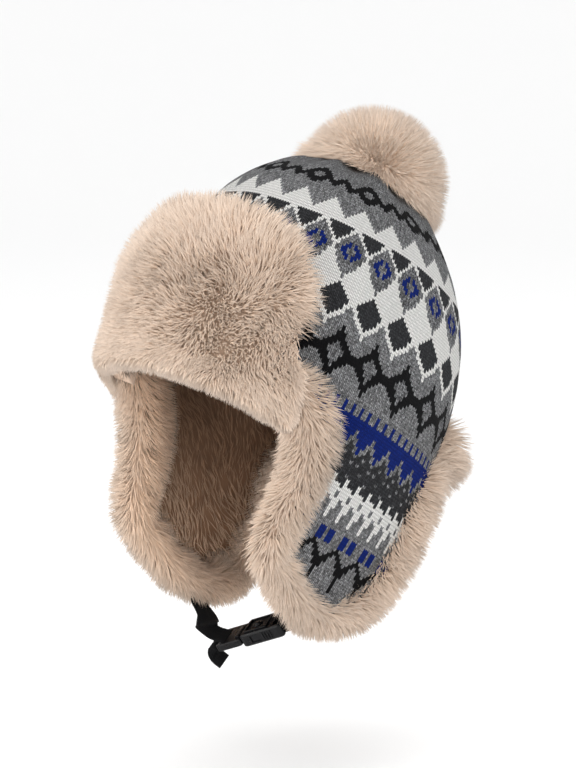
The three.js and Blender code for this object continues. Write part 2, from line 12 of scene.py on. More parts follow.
import bmesh
import bpy
import numpy as np
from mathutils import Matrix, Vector


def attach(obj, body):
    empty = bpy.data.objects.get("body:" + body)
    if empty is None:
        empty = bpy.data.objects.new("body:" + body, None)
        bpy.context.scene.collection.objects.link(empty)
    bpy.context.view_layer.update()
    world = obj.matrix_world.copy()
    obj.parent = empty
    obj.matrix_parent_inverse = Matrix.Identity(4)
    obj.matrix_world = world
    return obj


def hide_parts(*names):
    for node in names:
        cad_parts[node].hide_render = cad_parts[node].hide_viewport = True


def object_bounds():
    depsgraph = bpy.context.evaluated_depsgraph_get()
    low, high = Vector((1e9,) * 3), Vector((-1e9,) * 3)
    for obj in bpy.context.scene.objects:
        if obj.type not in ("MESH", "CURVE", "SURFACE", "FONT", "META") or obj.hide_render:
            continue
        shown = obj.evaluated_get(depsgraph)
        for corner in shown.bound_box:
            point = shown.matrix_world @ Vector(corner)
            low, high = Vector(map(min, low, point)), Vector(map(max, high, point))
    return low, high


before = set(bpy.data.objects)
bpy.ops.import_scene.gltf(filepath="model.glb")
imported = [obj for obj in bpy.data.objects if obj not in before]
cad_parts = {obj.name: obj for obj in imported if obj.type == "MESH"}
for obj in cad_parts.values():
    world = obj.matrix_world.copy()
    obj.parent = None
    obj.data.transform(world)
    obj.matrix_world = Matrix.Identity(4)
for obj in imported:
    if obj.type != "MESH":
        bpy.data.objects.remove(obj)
CAD_BOX = [list(corner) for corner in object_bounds()]

Array = np.ndarray
MM = 0.001
BODY = "root"
BAKE_UV = "OFBake"
STITCH_UV = "Stitch"
PAINTED_INSIDE_SHARE = "inside"
HAIR_HEIGHTS = np.array([0.0, 0.5, 0.5, 0.5, 1.0])
HAIR_CORNERS = np.array([2, 1, 0, 3, 2, 0, 1, 3, 0, 1, 2, 4, 2, 3, 4, 3, 1, 4])
CELL_FACTORS = (73856093, 19349663, 83492791)
log = logging.getLogger("aviator_hat")


def unit(vectors: Array) -> Array:
    """Give vectors a length of one."""
    return vectors / np.maximum(np.linalg.norm(vectors, axis=-1, keepdims=True), 1e-9)


def signed_power(value: Array, power: Array) -> Array:
    """Raise the size of each value to a power and keep its sign."""
    return np.sign(value) * np.abs(value) ** power


def fade(value: Array, start: float, end: float) -> Array:
    """Go evenly from 0 to 1 between two values, and stay there beyond them."""
    return np.clip((value - start) / (end - start), 0, 1)


def run_lengths(line: Array) -> Array:
    """Measure how far each point lies along a line."""
    return np.concatenate([[0], np.cumsum(np.linalg.norm(np.diff(line, axis=0), axis=1))])


def catmull_rom(points: Array, shares: Array) -> Array:
    """Walk a centripetal Catmull-Rom curve.

    Args:
        points: The curve's points, in order.
        shares: Where to look, from 0 at the first point to 1 at the last.

    Returns:
        A row for each share.
    """
    padded = np.vstack([2 * points[0] - points[1], points, 2 * points[-1] - points[-2]])
    gaps = np.maximum(np.linalg.norm(np.diff(padded, axis=0), axis=1) ** 0.5, 1e-4)
    spot = np.clip(shares, 0, 1) * (len(points) - 1)
    k = np.minimum(spot.astype(int), len(points) - 2)
    t = (spot - k)[:, None]
    before, start, end, after = (padded[k + n] for n in range(4))
    d0, d1, d2 = (gaps[k + n][:, None] for n in range(3))
    leave = ((start - before) / d0 - (end - before) / (d0 + d1) + (end - start) / d1) * d1
    arrive = ((end - start) / d1 - (after - start) / (d1 + d2) + (after - end) / d2) * d1
    square = t * t * (3 * (end - start) - 2 * leave - arrive)
    cube = t * t * t * (2 * (start - end) + leave + arrive)
    return start + t * leave + square + cube


@dataclass
class HatForm:
    """The shape that the knit, the fur and the lining all follow.

    turn is in degrees from the brow, positive to the wearer's left. level is 0 at the crown's tip,
    1 at the brow line and 2 at the bottom of the ear flaps.
    """

    half_width: float = 91.5
    front_reach: float = 98.0
    back_reach: float = 122.0
    height: float = 147.0
    dome_power: float = 2.07
    worn_tilt: float = math.radians(30)
    knit_thickness: float = 3.6
    lining_thickness: float = 9.0
    layer_gap: float = 0.3
    gather_depth: float = 2.2
    gather_count: int = 8
    gather_level: float = 0.25
    gather_span: float = 0.5
    flap_drop: float = 117.0
    flap_tuck: float = 26.0
    flap_ease: float = 1.2
    flap_flatness: float = 1.6
    brow_drop: float = 22.0
    nape_rise: float = 8.0
    shoulder_out: float = 4.5
    shoulder_level: float = 0.47
    shoulder_spread: float = 0.26
    shoulder_round: float = 0.35
    shoulder_turn: float = 0.9
    hem_steps: int = 240
    even_steps: int = 720
    even_levels: int = 15
    lowest_level: float = 2.4
    hem_turns: Array = field(init=False)
    hem_levels: Array = field(init=False)
    hem_lengths: Array = field(init=False)

    def __post_init__(self) -> None:
        """Work out the hem's run from its table of turns and drops."""
        brow = self.brow_drop / self.flap_drop
        nape = -self.nape_rise / self.flap_drop
        table = np.array([
            (0, brow), (30, brow), (60, brow), (72, brow + 0.05), (81, 0.38), (86.5, 0.58),
            (88.5, 0.77), (91, 0.92), (95, 0.985), (101, 1.0), (109, 0.95), (117.5, 0.85), (124, 0.7),
            (128, 0.5),
            (131, 0.28), (136, 0.12), (143, 0.03), (154, nape), (167, nape), (180, nape),
        ])
        flat = np.column_stack([
            table[:, 0] * self.mm_per_degree, table[:, 1] * self.flap_drop, np.zeros(len(table))])
        run = catmull_rom(flat, np.linspace(0, 1, self.hem_steps + 1))
        self.hem_turns = run[:, 0] / self.mm_per_degree
        self.hem_levels = 1 + run[:, 1] / self.flap_drop
        self.hem_lengths = run_lengths(self.skin(self.hem_turns, self.hem_levels))

    @property
    def mm_per_degree(self) -> float:
        """How far one degree of turn reaches round the brow."""
        return math.pi / 180 * self.half_width

    @property
    def lining_outer(self) -> float:
        """Offset of the lining's face against the knit."""
        return -(self.knit_thickness + self.layer_gap)

    @property
    def lining_inner(self) -> float:
        """Offset of the lining's face against the head."""
        return self.lining_outer - self.lining_thickness

    def skin(self, turn: Array, level: Array) -> Array:
        """Find points of the knit's outer face.

        Args:
            turn: Degrees from the brow.
            level: Level between the crown's tip and the flaps' bottom.

        Returns:
            Points in millimetres in the hat's own frame.
        """
        turn, level = np.broadcast_arrays(np.asarray(turn, float), np.asarray(level, float))
        angle = np.radians(turn)
        rise = np.clip(1 - level, 0, 1) * (math.pi / 2)
        depth = np.clip(level - 1, 0, None) ** self.flap_ease
        height = np.where(level <= 1, self.height * np.sin(rise) ** (2 / self.dome_power),
                          -(level - 1) * self.flap_drop)
        spread = np.clip(np.cos(rise), 0, None) ** (2 / self.dome_power)
        pleat = np.cos(math.pi * (level - self.gather_level) / self.gather_span)
        pleat = np.clip(pleat, 0, None) * (level <= 1)
        folds = 0.5 + 0.5 * np.cos(self.gather_count * angle)
        spread = np.clip(spread - self.gather_depth / self.half_width * pleat * folds, 0, None)
        power = 2 / (2 + self.flap_flatness * depth)
        reach = np.where(np.cos(angle) > 0, self.front_reach, self.back_reach)
        width = self.half_width - self.flap_tuck * depth
        return np.stack([
            width * spread * signed_power(np.sin(angle), power),
            -reach * spread * signed_power(np.cos(angle), power),
            height,
        ], axis=-1)

    def normal(self, turn: Array, level: Array) -> Array:
        """Find the outward normals of the knit's face.

        Args:
            turn: Degrees from the brow.
            level: Level between the crown's tip and the flaps' bottom.

        Returns:
            A normal for each, straight up at the tip.
        """
        turn_step, level_step = 1, 0.02
        round_way = self.skin(turn + turn_step, level) - self.skin(turn - turn_step, level)
        down = (self.skin(turn, level + level_step)
                - self.skin(turn, np.maximum(level - level_step, 0)))
        found = unit(np.cross(down, round_way))
        at_tip = (np.asarray(level) < level_step)[..., None]
        return np.where(at_tip, np.array([0.0, 0.0, 1.0]), found)

    def offset(self, turn: Array, level: Array, out: Array) -> Array:
        """Find points that stand off the knit's face."""
        turn, level = np.broadcast_arrays(np.asarray(turn, float), np.asarray(level, float))
        return self.skin(turn, level) + self.normal(turn, level) * np.asarray(out)[..., None]

    def level_at(self, height: Array) -> Array:
        """Find the level of the skin at heights.

        Args:
            height: Millimetres above the brow line, or below it where negative.

        Returns:
            The levels.
        """
        share = (np.clip(height, 0, self.height) / self.height) ** (self.dome_power / 2)
        above = 1 - np.arcsin(share) / (math.pi / 2)
        return np.where(height < 0, 1 - height / self.flap_drop, above)

    def hem(self, way: Array) -> tuple[Array, Array]:
        """Find the hem by its way round the hat.

        Args:
            way: 0 at the brow, 1 at the nape and 2 at the brow again, by the left ear first.

        Returns:
            The turns and levels of the hem there.
        """
        way = np.asarray(way, float)
        length = np.clip(np.where(way > 1, 2 - way, way), 0, 1) * self.hem_lengths[-1]
        turn = np.interp(length, self.hem_lengths, self.hem_turns)
        return np.where(way > 1, -turn, turn), np.interp(length, self.hem_lengths, self.hem_levels)

    def hem_level(self, turn: Array) -> Array:
        """Find the hem's level, the same on both sides."""
        side = np.abs((np.asarray(turn) + 180) % 360 - 180)
        return np.interp(side, self.hem_turns, self.hem_levels)

    def as_worn(self, points: Array) -> Array:
        """Turn directions or points back as the hat is worn, without moving its origin.

        Args:
            points: Rows of three numbers in the hat's own frame.

        Returns:
            The turned rows.
        """
        cosine, sine = math.cos(self.worn_tilt), math.sin(self.worn_tilt)
        y = points[..., 1] * cosine + points[..., 2] * sine
        z = points[..., 2] * cosine - points[..., 1] * sine
        return np.stack([points[..., 0], y, z], axis=-1)

    def shoulder(self, turn: Array, level: Array) -> Array:
        """Find how far the front of the crown puffs out over the brim.

        Args:
            turn: Degrees from the brow.
            level: Level between the crown's tip and the flaps' bottom.

        Returns:
            Millimetres out.
        """
        spot = (level - self.shoulder_level) / self.shoulder_spread
        ring = np.where(np.abs(spot) < 1, np.cos(spot * math.pi / 2), 0)
        front = (1 - self.shoulder_round) * np.cos(np.radians(turn) * self.shoulder_turn)
        return self.shoulder_out * ring * np.clip(self.shoulder_round + front, 0, 1)

    def even_turn(self, turn: Array, level: Array) -> Array:
        """Space turns below the brow line evenly along the knit, as they are on the crown.

        Args:
            turn: Degrees from the brow, on the crown.
            level: Level between tip and flap bottom.

        Returns:
            The turns at those levels.
        """
        turns = np.linspace(0, 180, self.even_steps + 1)
        levels = np.linspace(1, self.lowest_level, self.even_levels)
        shares = []
        for place in levels:
            arc = run_lengths(self.skin(turns, np.full(turns.shape, place)))
            shares.append(arc / arc[-1])
        even = np.zeros(np.shape(turn))
        low = np.clip(level, levels[0], levels[-1])
        for place, share in zip(levels, shares):
            weight = np.clip(1 - np.abs(low - place) / (levels[1] - levels[0]), 0, None)
            even += weight * np.interp(np.abs(turn), turns, np.interp(shares[0], share, turns))
        return np.sign(turn) * even

    @property
    def down(self) -> Array:
        """The way that things fall, in the hat's own frame."""
        return np.array([0.0, math.sin(self.worn_tilt), -math.cos(self.worn_tilt)])

    @property
    def seat(self) -> Array:
        """The shift from the hat's own origin to the part's, in millimetres."""
        depth = self.height + self.lining_inner
        return np.array([0.0, -depth * math.sin(self.worn_tilt), -depth * math.cos(self.worn_tilt)])

    def to_part(self, points: Array) -> Array:
        """Move points of the hat's own frame to the part's."""
        return (self.as_worn(points) + self.seat) * MM


def new_object(name: str, data: bpy.types.ID) -> bpy.types.Object:
    """Make an object and link it to the scene.

    Args:
        name: The object's name.
        data: Its mesh, light or camera.

    Returns:
        The object.
    """
    made = bpy.data.objects.new(name, data)
    bpy.context.scene.collection.objects.link(made)
    return made


@dataclass
class MeshParts:
    """Vertices, faces and texture places gathered from several sources for one mesh."""

    points: list = field(default_factory=list)
    corners: list = field(default_factory=list)
    sizes: list = field(default_factory=list)
    places: list = field(default_factory=list)
    normals: list = field(default_factory=list)
    total: int = 0

    def add(self, points: Array, corners: Array, sizes: Array, places: Array,
            normals: Array | None = None) -> None:
        """Add a batch of faces.

        Args:
            points: Vertices in metres.
            corners: Vertex numbers of all the faces, one after another.
            sizes: How many corners each face has.
            places: A texture place for each corner.
            normals: Shading normals of the vertices, where they aren't the faces' own.
        """
        if normals is not None:
            self.normals.append(normals)
        self.points.append(points)
        self.corners.append(corners + self.total)
        self.sizes.append(sizes)
        self.places.append(places)
        self.total += len(points)

    def add_bmesh(self, bm: bmesh.types.BMesh, place: tuple[float, float]) -> None:
        """Add a finished bmesh and free it.

        Args:
            bm: The bmesh.
            place: The one texture place for all of it.
        """
        bm.verts.index_update()
        bm.normal_update()
        points = np.array([v.co for v in bm.verts])
        normals = np.array([v.normal for v in bm.verts])
        corners = np.array([v.index for f in bm.faces for v in f.verts])
        sizes = np.array([len(f.verts) for f in bm.faces])
        bm.free()
        self.add(points, corners, sizes, np.zeros((len(corners), 2)) + np.array(place), normals)

    def build(self, name: str, smooth: bool = True) -> bpy.types.Object:
        """Make the mesh and its object.

        Args:
            name: The piece's name.
            smooth: Whether the faces are shaded smooth.

        Returns:
            The new object, linked to the scene.
        """
        points = np.concatenate(self.points)
        corners = np.concatenate(self.corners).astype(np.int32)
        sizes = np.concatenate(self.sizes).astype(np.int32)
        mesh = bpy.data.meshes.new(name)
        mesh.vertices.add(len(points))
        mesh.vertices.foreach_set("co", points.astype(np.float32).ravel())
        mesh.loops.add(len(corners))
        mesh.loops.foreach_set("vertex_index", corners)
        mesh.polygons.add(len(sizes))
        starts = np.concatenate([[0], np.cumsum(sizes)[:-1]]).astype(np.int32)
        mesh.polygons.foreach_set("loop_start", starts)
        mesh.update(calc_edges=True)
        layer = mesh.uv_layers.new(name=BAKE_UV)
        layer.data.foreach_set("uv", np.concatenate(self.places).astype(np.float32).ravel())
        mesh.polygons.foreach_set("use_smooth", np.full(len(sizes), smooth))
        mesh.validate()
        if self.normals:
            mesh.normals_split_custom_set_from_vertices(np.concatenate(self.normals).tolist())
        return new_object(name, mesh)


def add_stitch_map(piece: bpy.types.Object, places: Array) -> None:
    """Add the second texture map, whose units are stitches or metres."""
    layer = piece.data.uv_layers.new(name=STITCH_UV)
    layer.data.foreach_set("uv", places.astype(np.float32).ravel())


def finish_piece(piece: bpy.types.Object, slot: str, material: bpy.types.Material,
                 *nodes: str) -> bpy.types.Object:
    """Dress a piece and tie it to the frame.

    Args:
        piece: The new piece.
        slot: The record's material slot; not used.
        material: The finish that it wears.
        nodes: The CAD nodes that it stands for.

    Returns:
        The same piece.
    """
    piece.data.materials.clear()
    piece.data.materials.append(material)
    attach(piece, BODY)
    if nodes:
        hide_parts(*nodes)
    log.info("%s: %d faces", piece.name, len(piece.data.polygons))
    return piece


def mark_painted_inside(piece: bpy.types.Object, body_count: int, body: float, hairs: Array) -> None:
    """Note how far each vertex of a fur piece takes the tint for the hat's inside, painted light on the
    trims and painted shade on the lining.

    Args:
        piece: The fur piece.
        body_count: How many vertices its under-body has.
        body: The under-body's own share.
        hairs: The share of each hair.
    """
    spread = np.repeat(hairs, len(HAIR_HEIGHTS))
    shares = np.concatenate([np.full(body_count, body), spread])
    attribute = piece.data.attributes.new(PAINTED_INSIDE_SHARE, "FLOAT", "POINT")
    attribute.data.foreach_set("value", shares.astype(np.float32))


def closed_sweep(across: int, along: int,
                 place: Callable[[Array, Array], Array]) -> bmesh.types.BMesh:
    """Shape a grid into a closed body.

    Args:
        across: Faces round the body.
        along: Faces along it.
        place: Gives points in metres for two arrays between 0 and 1, round and along.

    Returns:
        The closed bmesh.
    """
    bm = bmesh.new()
    bmesh.ops.create_grid(bm, x_segments=across, y_segments=along, size=0.5)
    spots = np.array([v.co[:2] for v in bm.verts]) + 0.5
    for vert, point in zip(bm.verts, place(spots[:, 0], spots[:, 1])):
        vert.co = point
    bmesh.ops.remove_doubles(bm, verts=bm.verts, dist=1e-6)
    bmesh.ops.holes_fill(bm, edges=[e for e in bm.edges if e.is_boundary], sides=0)
    bmesh.ops.recalc_face_normals(bm, faces=bm.faces)
    return bm


@dataclass(frozen=True)
class Pile:
    """How the hairs of a fur piece grow.

    Lengths and widths are in millimetres. scatter, droop and swirl say how far the hairs turn
    aside, sink and drift, and clump how far the tips lean to their neighbours'. uneven is how much
    shorter the shortest hairs are, and softness how far the hairs are shaded like the fur's face.
    """

    count: int
    length: float
    width: float
    scatter: float = 0.16
    droop: float = 0.15
    swirl: float = 0.22
    swirl_size: float = 17.0
    clump: float = 0.25
    clump_size: float = 3.2
    clump_shift: float = 1000.0
    uneven: float = 0.3
    softness: float = 0.8
    facing_lean: float = 0.35
    root_share: float = 0.5
    root_depth: float = 1.5
    tip_share: float = 0.55
    tip_scatter: float = 0.7
    thinnest: float = 0.6
    width_spread: float = 0.8
    seed: int = 1

    @property
    def placing(self) -> np.random.Generator:
        """The random numbers that place the hairs, apart from those that shape them."""
        return np.random.default_rng(self.seed + 100)

    def waves(self, points: Array) -> Array:
        """Find the slow sideways drift of the growth, from waves that don't repeat together.

        Args:
            points: Where the hairs stand.

        Returns:
            A drift for each point.
        """
        p = points / self.swirl_size
        return np.stack([
            np.sin(2.1 * p[:, 1] + 1.3 * p[:, 2]) + 0.5 * np.sin(4.3 * p[:, 0] - 3.1 * p[:, 2]),
            np.sin(1.7 * p[:, 2] - 1.9 * p[:, 0]) + 0.5 * np.sin(3.7 * p[:, 1] + 4.1 * p[:, 0]),
            np.sin(2.3 * p[:, 0] + 1.1 * p[:, 1]) + 0.5 * np.sin(3.9 * p[:, 2] - 2.9 * p[:, 1]),
        ], axis=1) * self.swirl

    def mean_tips(self, roots: Array, tips: Array) -> Array:
        """Find the middle of the tips of all the hairs that stand in the same small cell.

        Args:
            roots: Where the hairs stand.
            tips: Where they end.

        Returns:
            A point for each hair.
        """
        cell = np.floor((roots + self.clump_shift) / self.clump_size).astype(np.int64)
        first, second, third = (cell[:, k] * factor for k, factor in enumerate(CELL_FACTORS))
        _, group = np.unique(first ^ second ^ third, return_inverse=True)
        counts = np.bincount(group)[:, None]
        mean = np.stack([np.bincount(group, tips[:, k]) for k in range(3)], axis=1) / counts
        return mean[group]

    def grow(self, parts: MeshParts, form: HatForm, roots: Array, ways: Array, facing: Array,
             reach: Array, settle: Callable[[Array], Array] = lambda points: points) -> None:
        """Grow bent, pointed hairs, each a closed spindle of six faces.

        Args:
            parts: Where the hairs are added.
            form: The hat that they grow on.
            roots: Where they stand, in the hat's own frame.
            ways: Which way each one grows.
            facing: Which way the fur's surface faces there.
            reach: How long each one is, as a share of the pile's length.
            settle: Moves points of the hairs off what they lie on.
        """
        rng = np.random.default_rng(self.seed)
        n = len(roots)
        length = self.length * reach * (1 - self.uneven * rng.random(n) ** 2)
        first = unit(ways + self.waves(roots) + self.scatter * rng.normal(size=(n, 3)))
        middle = settle(roots + first * (self.root_share * length)[:, None])
        second = unit(first + self.scatter * self.tip_scatter * rng.normal(size=(n, 3))
                      + self.droop * form.down)
        tips = middle + second * (self.tip_share * length)[:, None]
        lean = (self.clump * rng.random(n))[:, None]
        tips = settle(tips + (self.mean_tips(roots, tips) - tips) * lean)
        side = unit(np.cross(first, rng.normal(size=(n, 3))))
        other = np.cross(first, side)
        half = (self.width / 2 * (self.thinnest + self.width_spread * rng.random(n)))[:, None]
        spokes = [math.cos(angle) * side + math.sin(angle) * other
                  for angle in (0, 2 * math.pi / 3, 4 * math.pi / 3)]
        points = np.stack([roots - first * self.root_depth, *(middle + half * s for s in spokes),
                           tips], axis=1)
        soft = self.softness * unit(facing + self.facing_lean * first)
        normals = np.stack([soft, *(unit(soft + (1 - self.softness) * s) for s in spokes), soft],
                           axis=1)
        corners = (np.arange(n)[:, None] * len(HAIR_HEIGHTS) + HAIR_CORNERS).ravel()
        places = np.stack([np.repeat(rng.random(n), len(HAIR_CORNERS)),
                           np.tile(HAIR_HEIGHTS[HAIR_CORNERS], n)], axis=1)
        parts.add(form.to_part(points.reshape(-1, 3)), corners, np.full(len(corners) // 3, 3),
                  places, form.as_worn(unit(normals.reshape(-1, 3))))


class Nodes:
    """A short way to add and link a node tree's nodes."""

    def __init__(self, tree: bpy.types.NodeTree) -> None:
        """Keep the tree."""
        self.tree = tree

    def feed(self, node: bpy.types.Node, inputs: dict) -> None:
        """Set or link a node's inputs.

        Args:
            node: The node.
            inputs: Socket name or number to a value or to a socket to link.
        """
        for key, value in inputs.items():
            if isinstance(value, bpy.types.NodeSocket):
                self.tree.links.new(value, node.inputs[key])
            else:
                node.inputs[key].default_value = value

    def add(self, kind: str, inputs: dict | None = None, **settings) -> bpy.types.Node:
        """Add a node.

        Args:
            kind: Its type, without the common start of the name.
            inputs: Socket name or number to a value or to a socket to link.
            settings: Attributes of the node itself.

        Returns:
            The node.
        """
        node = self.tree.nodes.new("ShaderNode" + kind)
        for key, value in settings.items():
            setattr(node, key, value)
        self.feed(node, inputs or {})
        return node

    def math(self, operation: str, *values) -> bpy.types.NodeSocket:
        """Add a math node."""
        return self.add("Math", dict(enumerate(values)), operation=operation).outputs[0]

    def mix(self, factor, first, second, blend: str = "MIX") -> bpy.types.NodeSocket:
        """Add a colour mix."""
        node = self.add("Mix", {0: factor, 6: first, 7: second}, data_type="RGBA", blend_type=blend)
        return node.outputs[2]

    def shaded(self, colour: bpy.types.NodeSocket, brightness) -> bpy.types.NodeSocket:
        """Multiply a colour by a brightness."""
        grey = self.add("CombineXYZ", {0: brightness, 1: brightness, 2: brightness})
        return self.mix(1.0, colour, grey.outputs[0], "MULTIPLY")

    def ramp(self, value, *stops: tuple[float, tuple]) -> bpy.types.NodeSocket:
        """Add a colour ramp.

        Args:
            value: Where to look on it.
            stops: A place and a colour for each stop.

        Returns:
            Its colour.
        """
        node = self.add("ValToRGB", {0: value})
        elements = node.color_ramp.elements
        while len(elements) < len(stops):
            elements.new(0.5)
        for element, (place, colour) in zip(elements, stops):
            element.position = place
            element.color = (*colour, 1)
        return node.outputs[0]

    def noise(self, scale: float, detail: float, coords: bpy.types.NodeSocket,
              **inputs) -> bpy.types.NodeSocket:
        """Add a noise texture."""
        places = {"Vector": coords, "Scale": scale, "Detail": detail, **inputs}
        return self.add("TexNoise", places).outputs[0]


def new_material(name: str) -> tuple[bpy.types.Material, Nodes, bpy.types.Node]:
    """Start a material.

    Args:
        name: The material's name.

    Returns:
        The material, its nodes' helper and its main shader.
    """
    made = bpy.data.materials.new(name)
    made.use_nodes = True
    return made, Nodes(made.node_tree), made.node_tree.nodes["Principled BSDF"]


def new_group(name: str, inputs: dict[str, tuple[str, object]], outputs: dict[str, str]) -> tuple:
    """Start a shader node group.

    Args:
        name: The group's name.
        inputs: Socket name to its kind and default value.
        outputs: Socket name to its kind.

    Returns:
        The tree, its nodes' helper, the input node and the output node.
    """
    tree = bpy.data.node_groups.new(name, "ShaderNodeTree")
    for label, (kind, value) in inputs.items():
        socket = tree.interface.new_socket(name=label, in_out="INPUT", socket_type="NodeSocket" + kind)
        socket.default_value = value
    for label, kind in outputs.items():
        tree.interface.new_socket(name=label, in_out="OUTPUT", socket_type="NodeSocket" + kind)
    return tree, Nodes(tree), tree.nodes.new("NodeGroupInput"), tree.nodes.new("NodeGroupOutput")


def fur_shade_group() -> bpy.types.NodeTree:
    """Make the group that colours hairs from root to tip, with tufts and single hairs varied. The
    darker roots are partly the fur's own colour and partly painted shade deep in the pile.

    Returns:
        The group, which gives out Color.
    """
    grey = (0.5, 0.5, 0.5, 1)
    tree, n, source, sink = new_group(
        "fur_shade",
        {"Root": ("Color", grey), "Middle": ("Color", grey), "Tip": ("Color", grey),
         "Hair Variation": ("Float", 0.3), "Tuft Scale": ("Float", 60.0)},
        {"Color": "Color"})
    uv = n.add("SeparateXYZ", {0: n.add("UVMap", uv_map=BAKE_UV).outputs[0]})
    coords = n.add("TexCoord").outputs["Object"]
    low = n.add("MapRange", {0: uv.outputs[1], 1: 0.05, 2: 0.6}).outputs[0]
    high = n.add("MapRange", {0: uv.outputs[1], 1: 0.55, 2: 1.0}).outputs[0]
    colour = n.mix(low, source.outputs["Root"], source.outputs["Middle"])
    colour = n.mix(high, colour, source.outputs["Tip"])
    tuft = n.noise(source.outputs["Tuft Scale"], 3.0, coords)
    hair = n.math("ADD", n.math("MULTIPLY", uv.outputs[0], 0.6), n.math("MULTIPLY", tuft, 0.8))
    swing = n.math("MULTIPLY", n.math("SUBTRACT", hair, 0.7), source.outputs["Hair Variation"])
    n.feed(sink, {"Color": n.shaded(colour, n.math("ADD", swing, 1.0))})
    return tree


def fleck_group() -> bpy.types.NodeTree:
    """Make the group that flecks yarn or webbing with lighter and darker fibres.

    Returns:
        The group, which gives out Color and Height.
    """
    tree, n, source, sink = new_group(
        "fibre_fleck",
        {"Color": ("Color", (0.5, 0.5, 0.5, 1)), "Amount": ("Float", 0.3), "Scale": ("Float", 1500.0)},
        {"Color": "Color", "Height": "Float"})
    noise = n.noise(source.outputs["Scale"], 2.0, n.add("TexCoord").outputs["Object"], Roughness=0.7)
    spread = n.add("MapRange", {0: noise, 1: 0.3, 2: 0.7, 3: -1.0, 4: 1.0}).outputs[0]
    swing = n.math("MULTIPLY", spread, source.outputs["Amount"])
    factor = n.math("MAXIMUM", n.math("ADD", 1.0, swing), 0.05)
    n.feed(sink, {"Color": n.shaded(source.outputs["Color"], factor), "Height": noise})
    return tree


@dataclass(frozen=True)
class FurFinish:
    """Long pile with its own root, middle and tip colours. Its tint for the hat's inside is painted
    light where above one and painted shade where below one, and its high shade is painted shade that
    darkens the pile higher up inside the hat.
    """

    name: str
    root: tuple[float, float, float]
    middle: tuple[float, float, float]
    tip: tuple[float, float, float]
    variation: float = 0.5
    tuft_scale: float = 70.0
    sheen: float = 0.25
    painted_high_shade: float = 1.0
    painted_shade_heights: tuple[float, float] = (-0.22, -0.11)
    painted_inside_tint: tuple[float, float, float] = (0.56, 0.47, 0.40)

    def material(self, shade: bpy.types.NodeTree) -> bpy.types.Material:
        """Make the material.

        Args:
            shade: The group that colours the hairs.

        Returns:
            The material.
        """
        made, n, shader = new_material(self.name)
        group = n.add("Group", {"Root": (*self.root, 1), "Middle": (*self.middle, 1),
                                "Tip": (*self.tip, 1), "Hair Variation": self.variation,
                                "Tuft Scale": self.tuft_scale}, node_tree=shade)
        fur = group.outputs["Color"]
        # The tint multiplied in on the hat's inside is painted light on the trims and painted shade on
        # the lining.
        inside = n.add("Attribute", attribute_name=PAINTED_INSIDE_SHARE).outputs["Fac"]
        colour = n.mix(inside, fur, n.mix(1.0, fur, (*self.painted_inside_tint, 1), "MULTIPLY"))
        # Painted shade: the pile darkens higher up inside the hat, between the two heights.
        if self.painted_high_shade < 1:
            place = n.add("SeparateXYZ", {0: n.add("TexCoord").outputs["Object"]})
            low, high = self.painted_shade_heights
            brightness = n.add("MapRange", {0: place.outputs[2], 1: low, 2: high, 3: 1.0,
                                            4: self.painted_high_shade})
            colour = n.shaded(colour, brightness.outputs[0])
        n.feed(shader, {"Base Color": colour, "Roughness": 0.8, "Specular IOR Level": 0.15,
                        "Sheen Weight": self.sheen, "Sheen Roughness": 0.5})
        return made


@dataclass(frozen=True)
class KnitFinish:
    """Plain knitting: each stitch has its yarn's colour and two raised legs, with painted shade in the
    gaps between the legs and at the row ends, deeper on flecked yarns.
    """

    name: str = "knit"
    relief: float = 1.0
    painted_hole_shade: float = 0.7
    painted_heather_gap_shade: float = 0.3
    leg_power: float = 2.5
    end_power: float = 5.0
    gap_power: float = 3.2
    end_gap: float = 0.8
    fleck_scale: float = 1300.0
    fleck_height: float = 0.5
    bump_height: float = 0.0012

    def material(self, fleck: bpy.types.NodeTree) -> bpy.types.Material:
        """Make the material.

        Args:
            fleck: The group that flecks the yarn.

        Returns:
            The material.
        """
        made, n, shader = new_material(self.name)
        yarn = n.add("Attribute", attribute_name="yarn", attribute_type="GEOMETRY")
        uv = n.add("SeparateXYZ", {0: n.add("UVMap", uv_map=STITCH_UV).outputs[0]})
        across = self.edge_distance(n, uv.outputs[0])
        end = n.math("POWER", self.edge_distance(n, uv.outputs[1]), self.end_power)
        round_leg = n.math("SUBTRACT", 1.0, n.math("POWER", across, self.leg_power))
        leg = n.math("MULTIPLY", round_leg, n.math("SUBTRACT", 1.0, end))
        # Painted shade in the gaps between the legs and at the row ends, deeper on flecked yarns.
        gap = n.math("MAXIMUM", n.math("POWER", across, self.gap_power),
                     n.math("MULTIPLY", end, self.end_gap))
        depth = n.math("MULTIPLY_ADD", yarn.outputs["Alpha"], self.painted_heather_gap_shade, self.painted_hole_shade)
        flecked = n.add("Group", {"Color": yarn.outputs["Color"], "Amount": yarn.outputs["Alpha"],
                                  "Scale": self.fleck_scale}, node_tree=fleck)
        shade = n.math("SUBTRACT", 1.0, n.math("MULTIPLY", gap, depth))
        fibres = n.math("MULTIPLY", flecked.outputs["Height"], self.fleck_height)
        bump = n.add("Bump", {"Strength": self.relief, "Distance": self.bump_height,
                              "Height": n.math("ADD", leg, fibres)})
        n.feed(shader, {"Base Color": n.shaded(flecked.outputs["Color"], shade),
                        "Normal": bump.outputs[0], "Roughness": 0.9, "Specular IOR Level": 0.1})
        return made

    @staticmethod
    def edge_distance(n: Nodes, value: bpy.types.NodeSocket) -> bpy.types.NodeSocket:
        """Measure how near a texture place is to a stitch leg's edge."""
        return n.math("ABSOLUTE", n.math("MULTIPLY_ADD", n.math("FRACT", value), 2.0, -1.0))


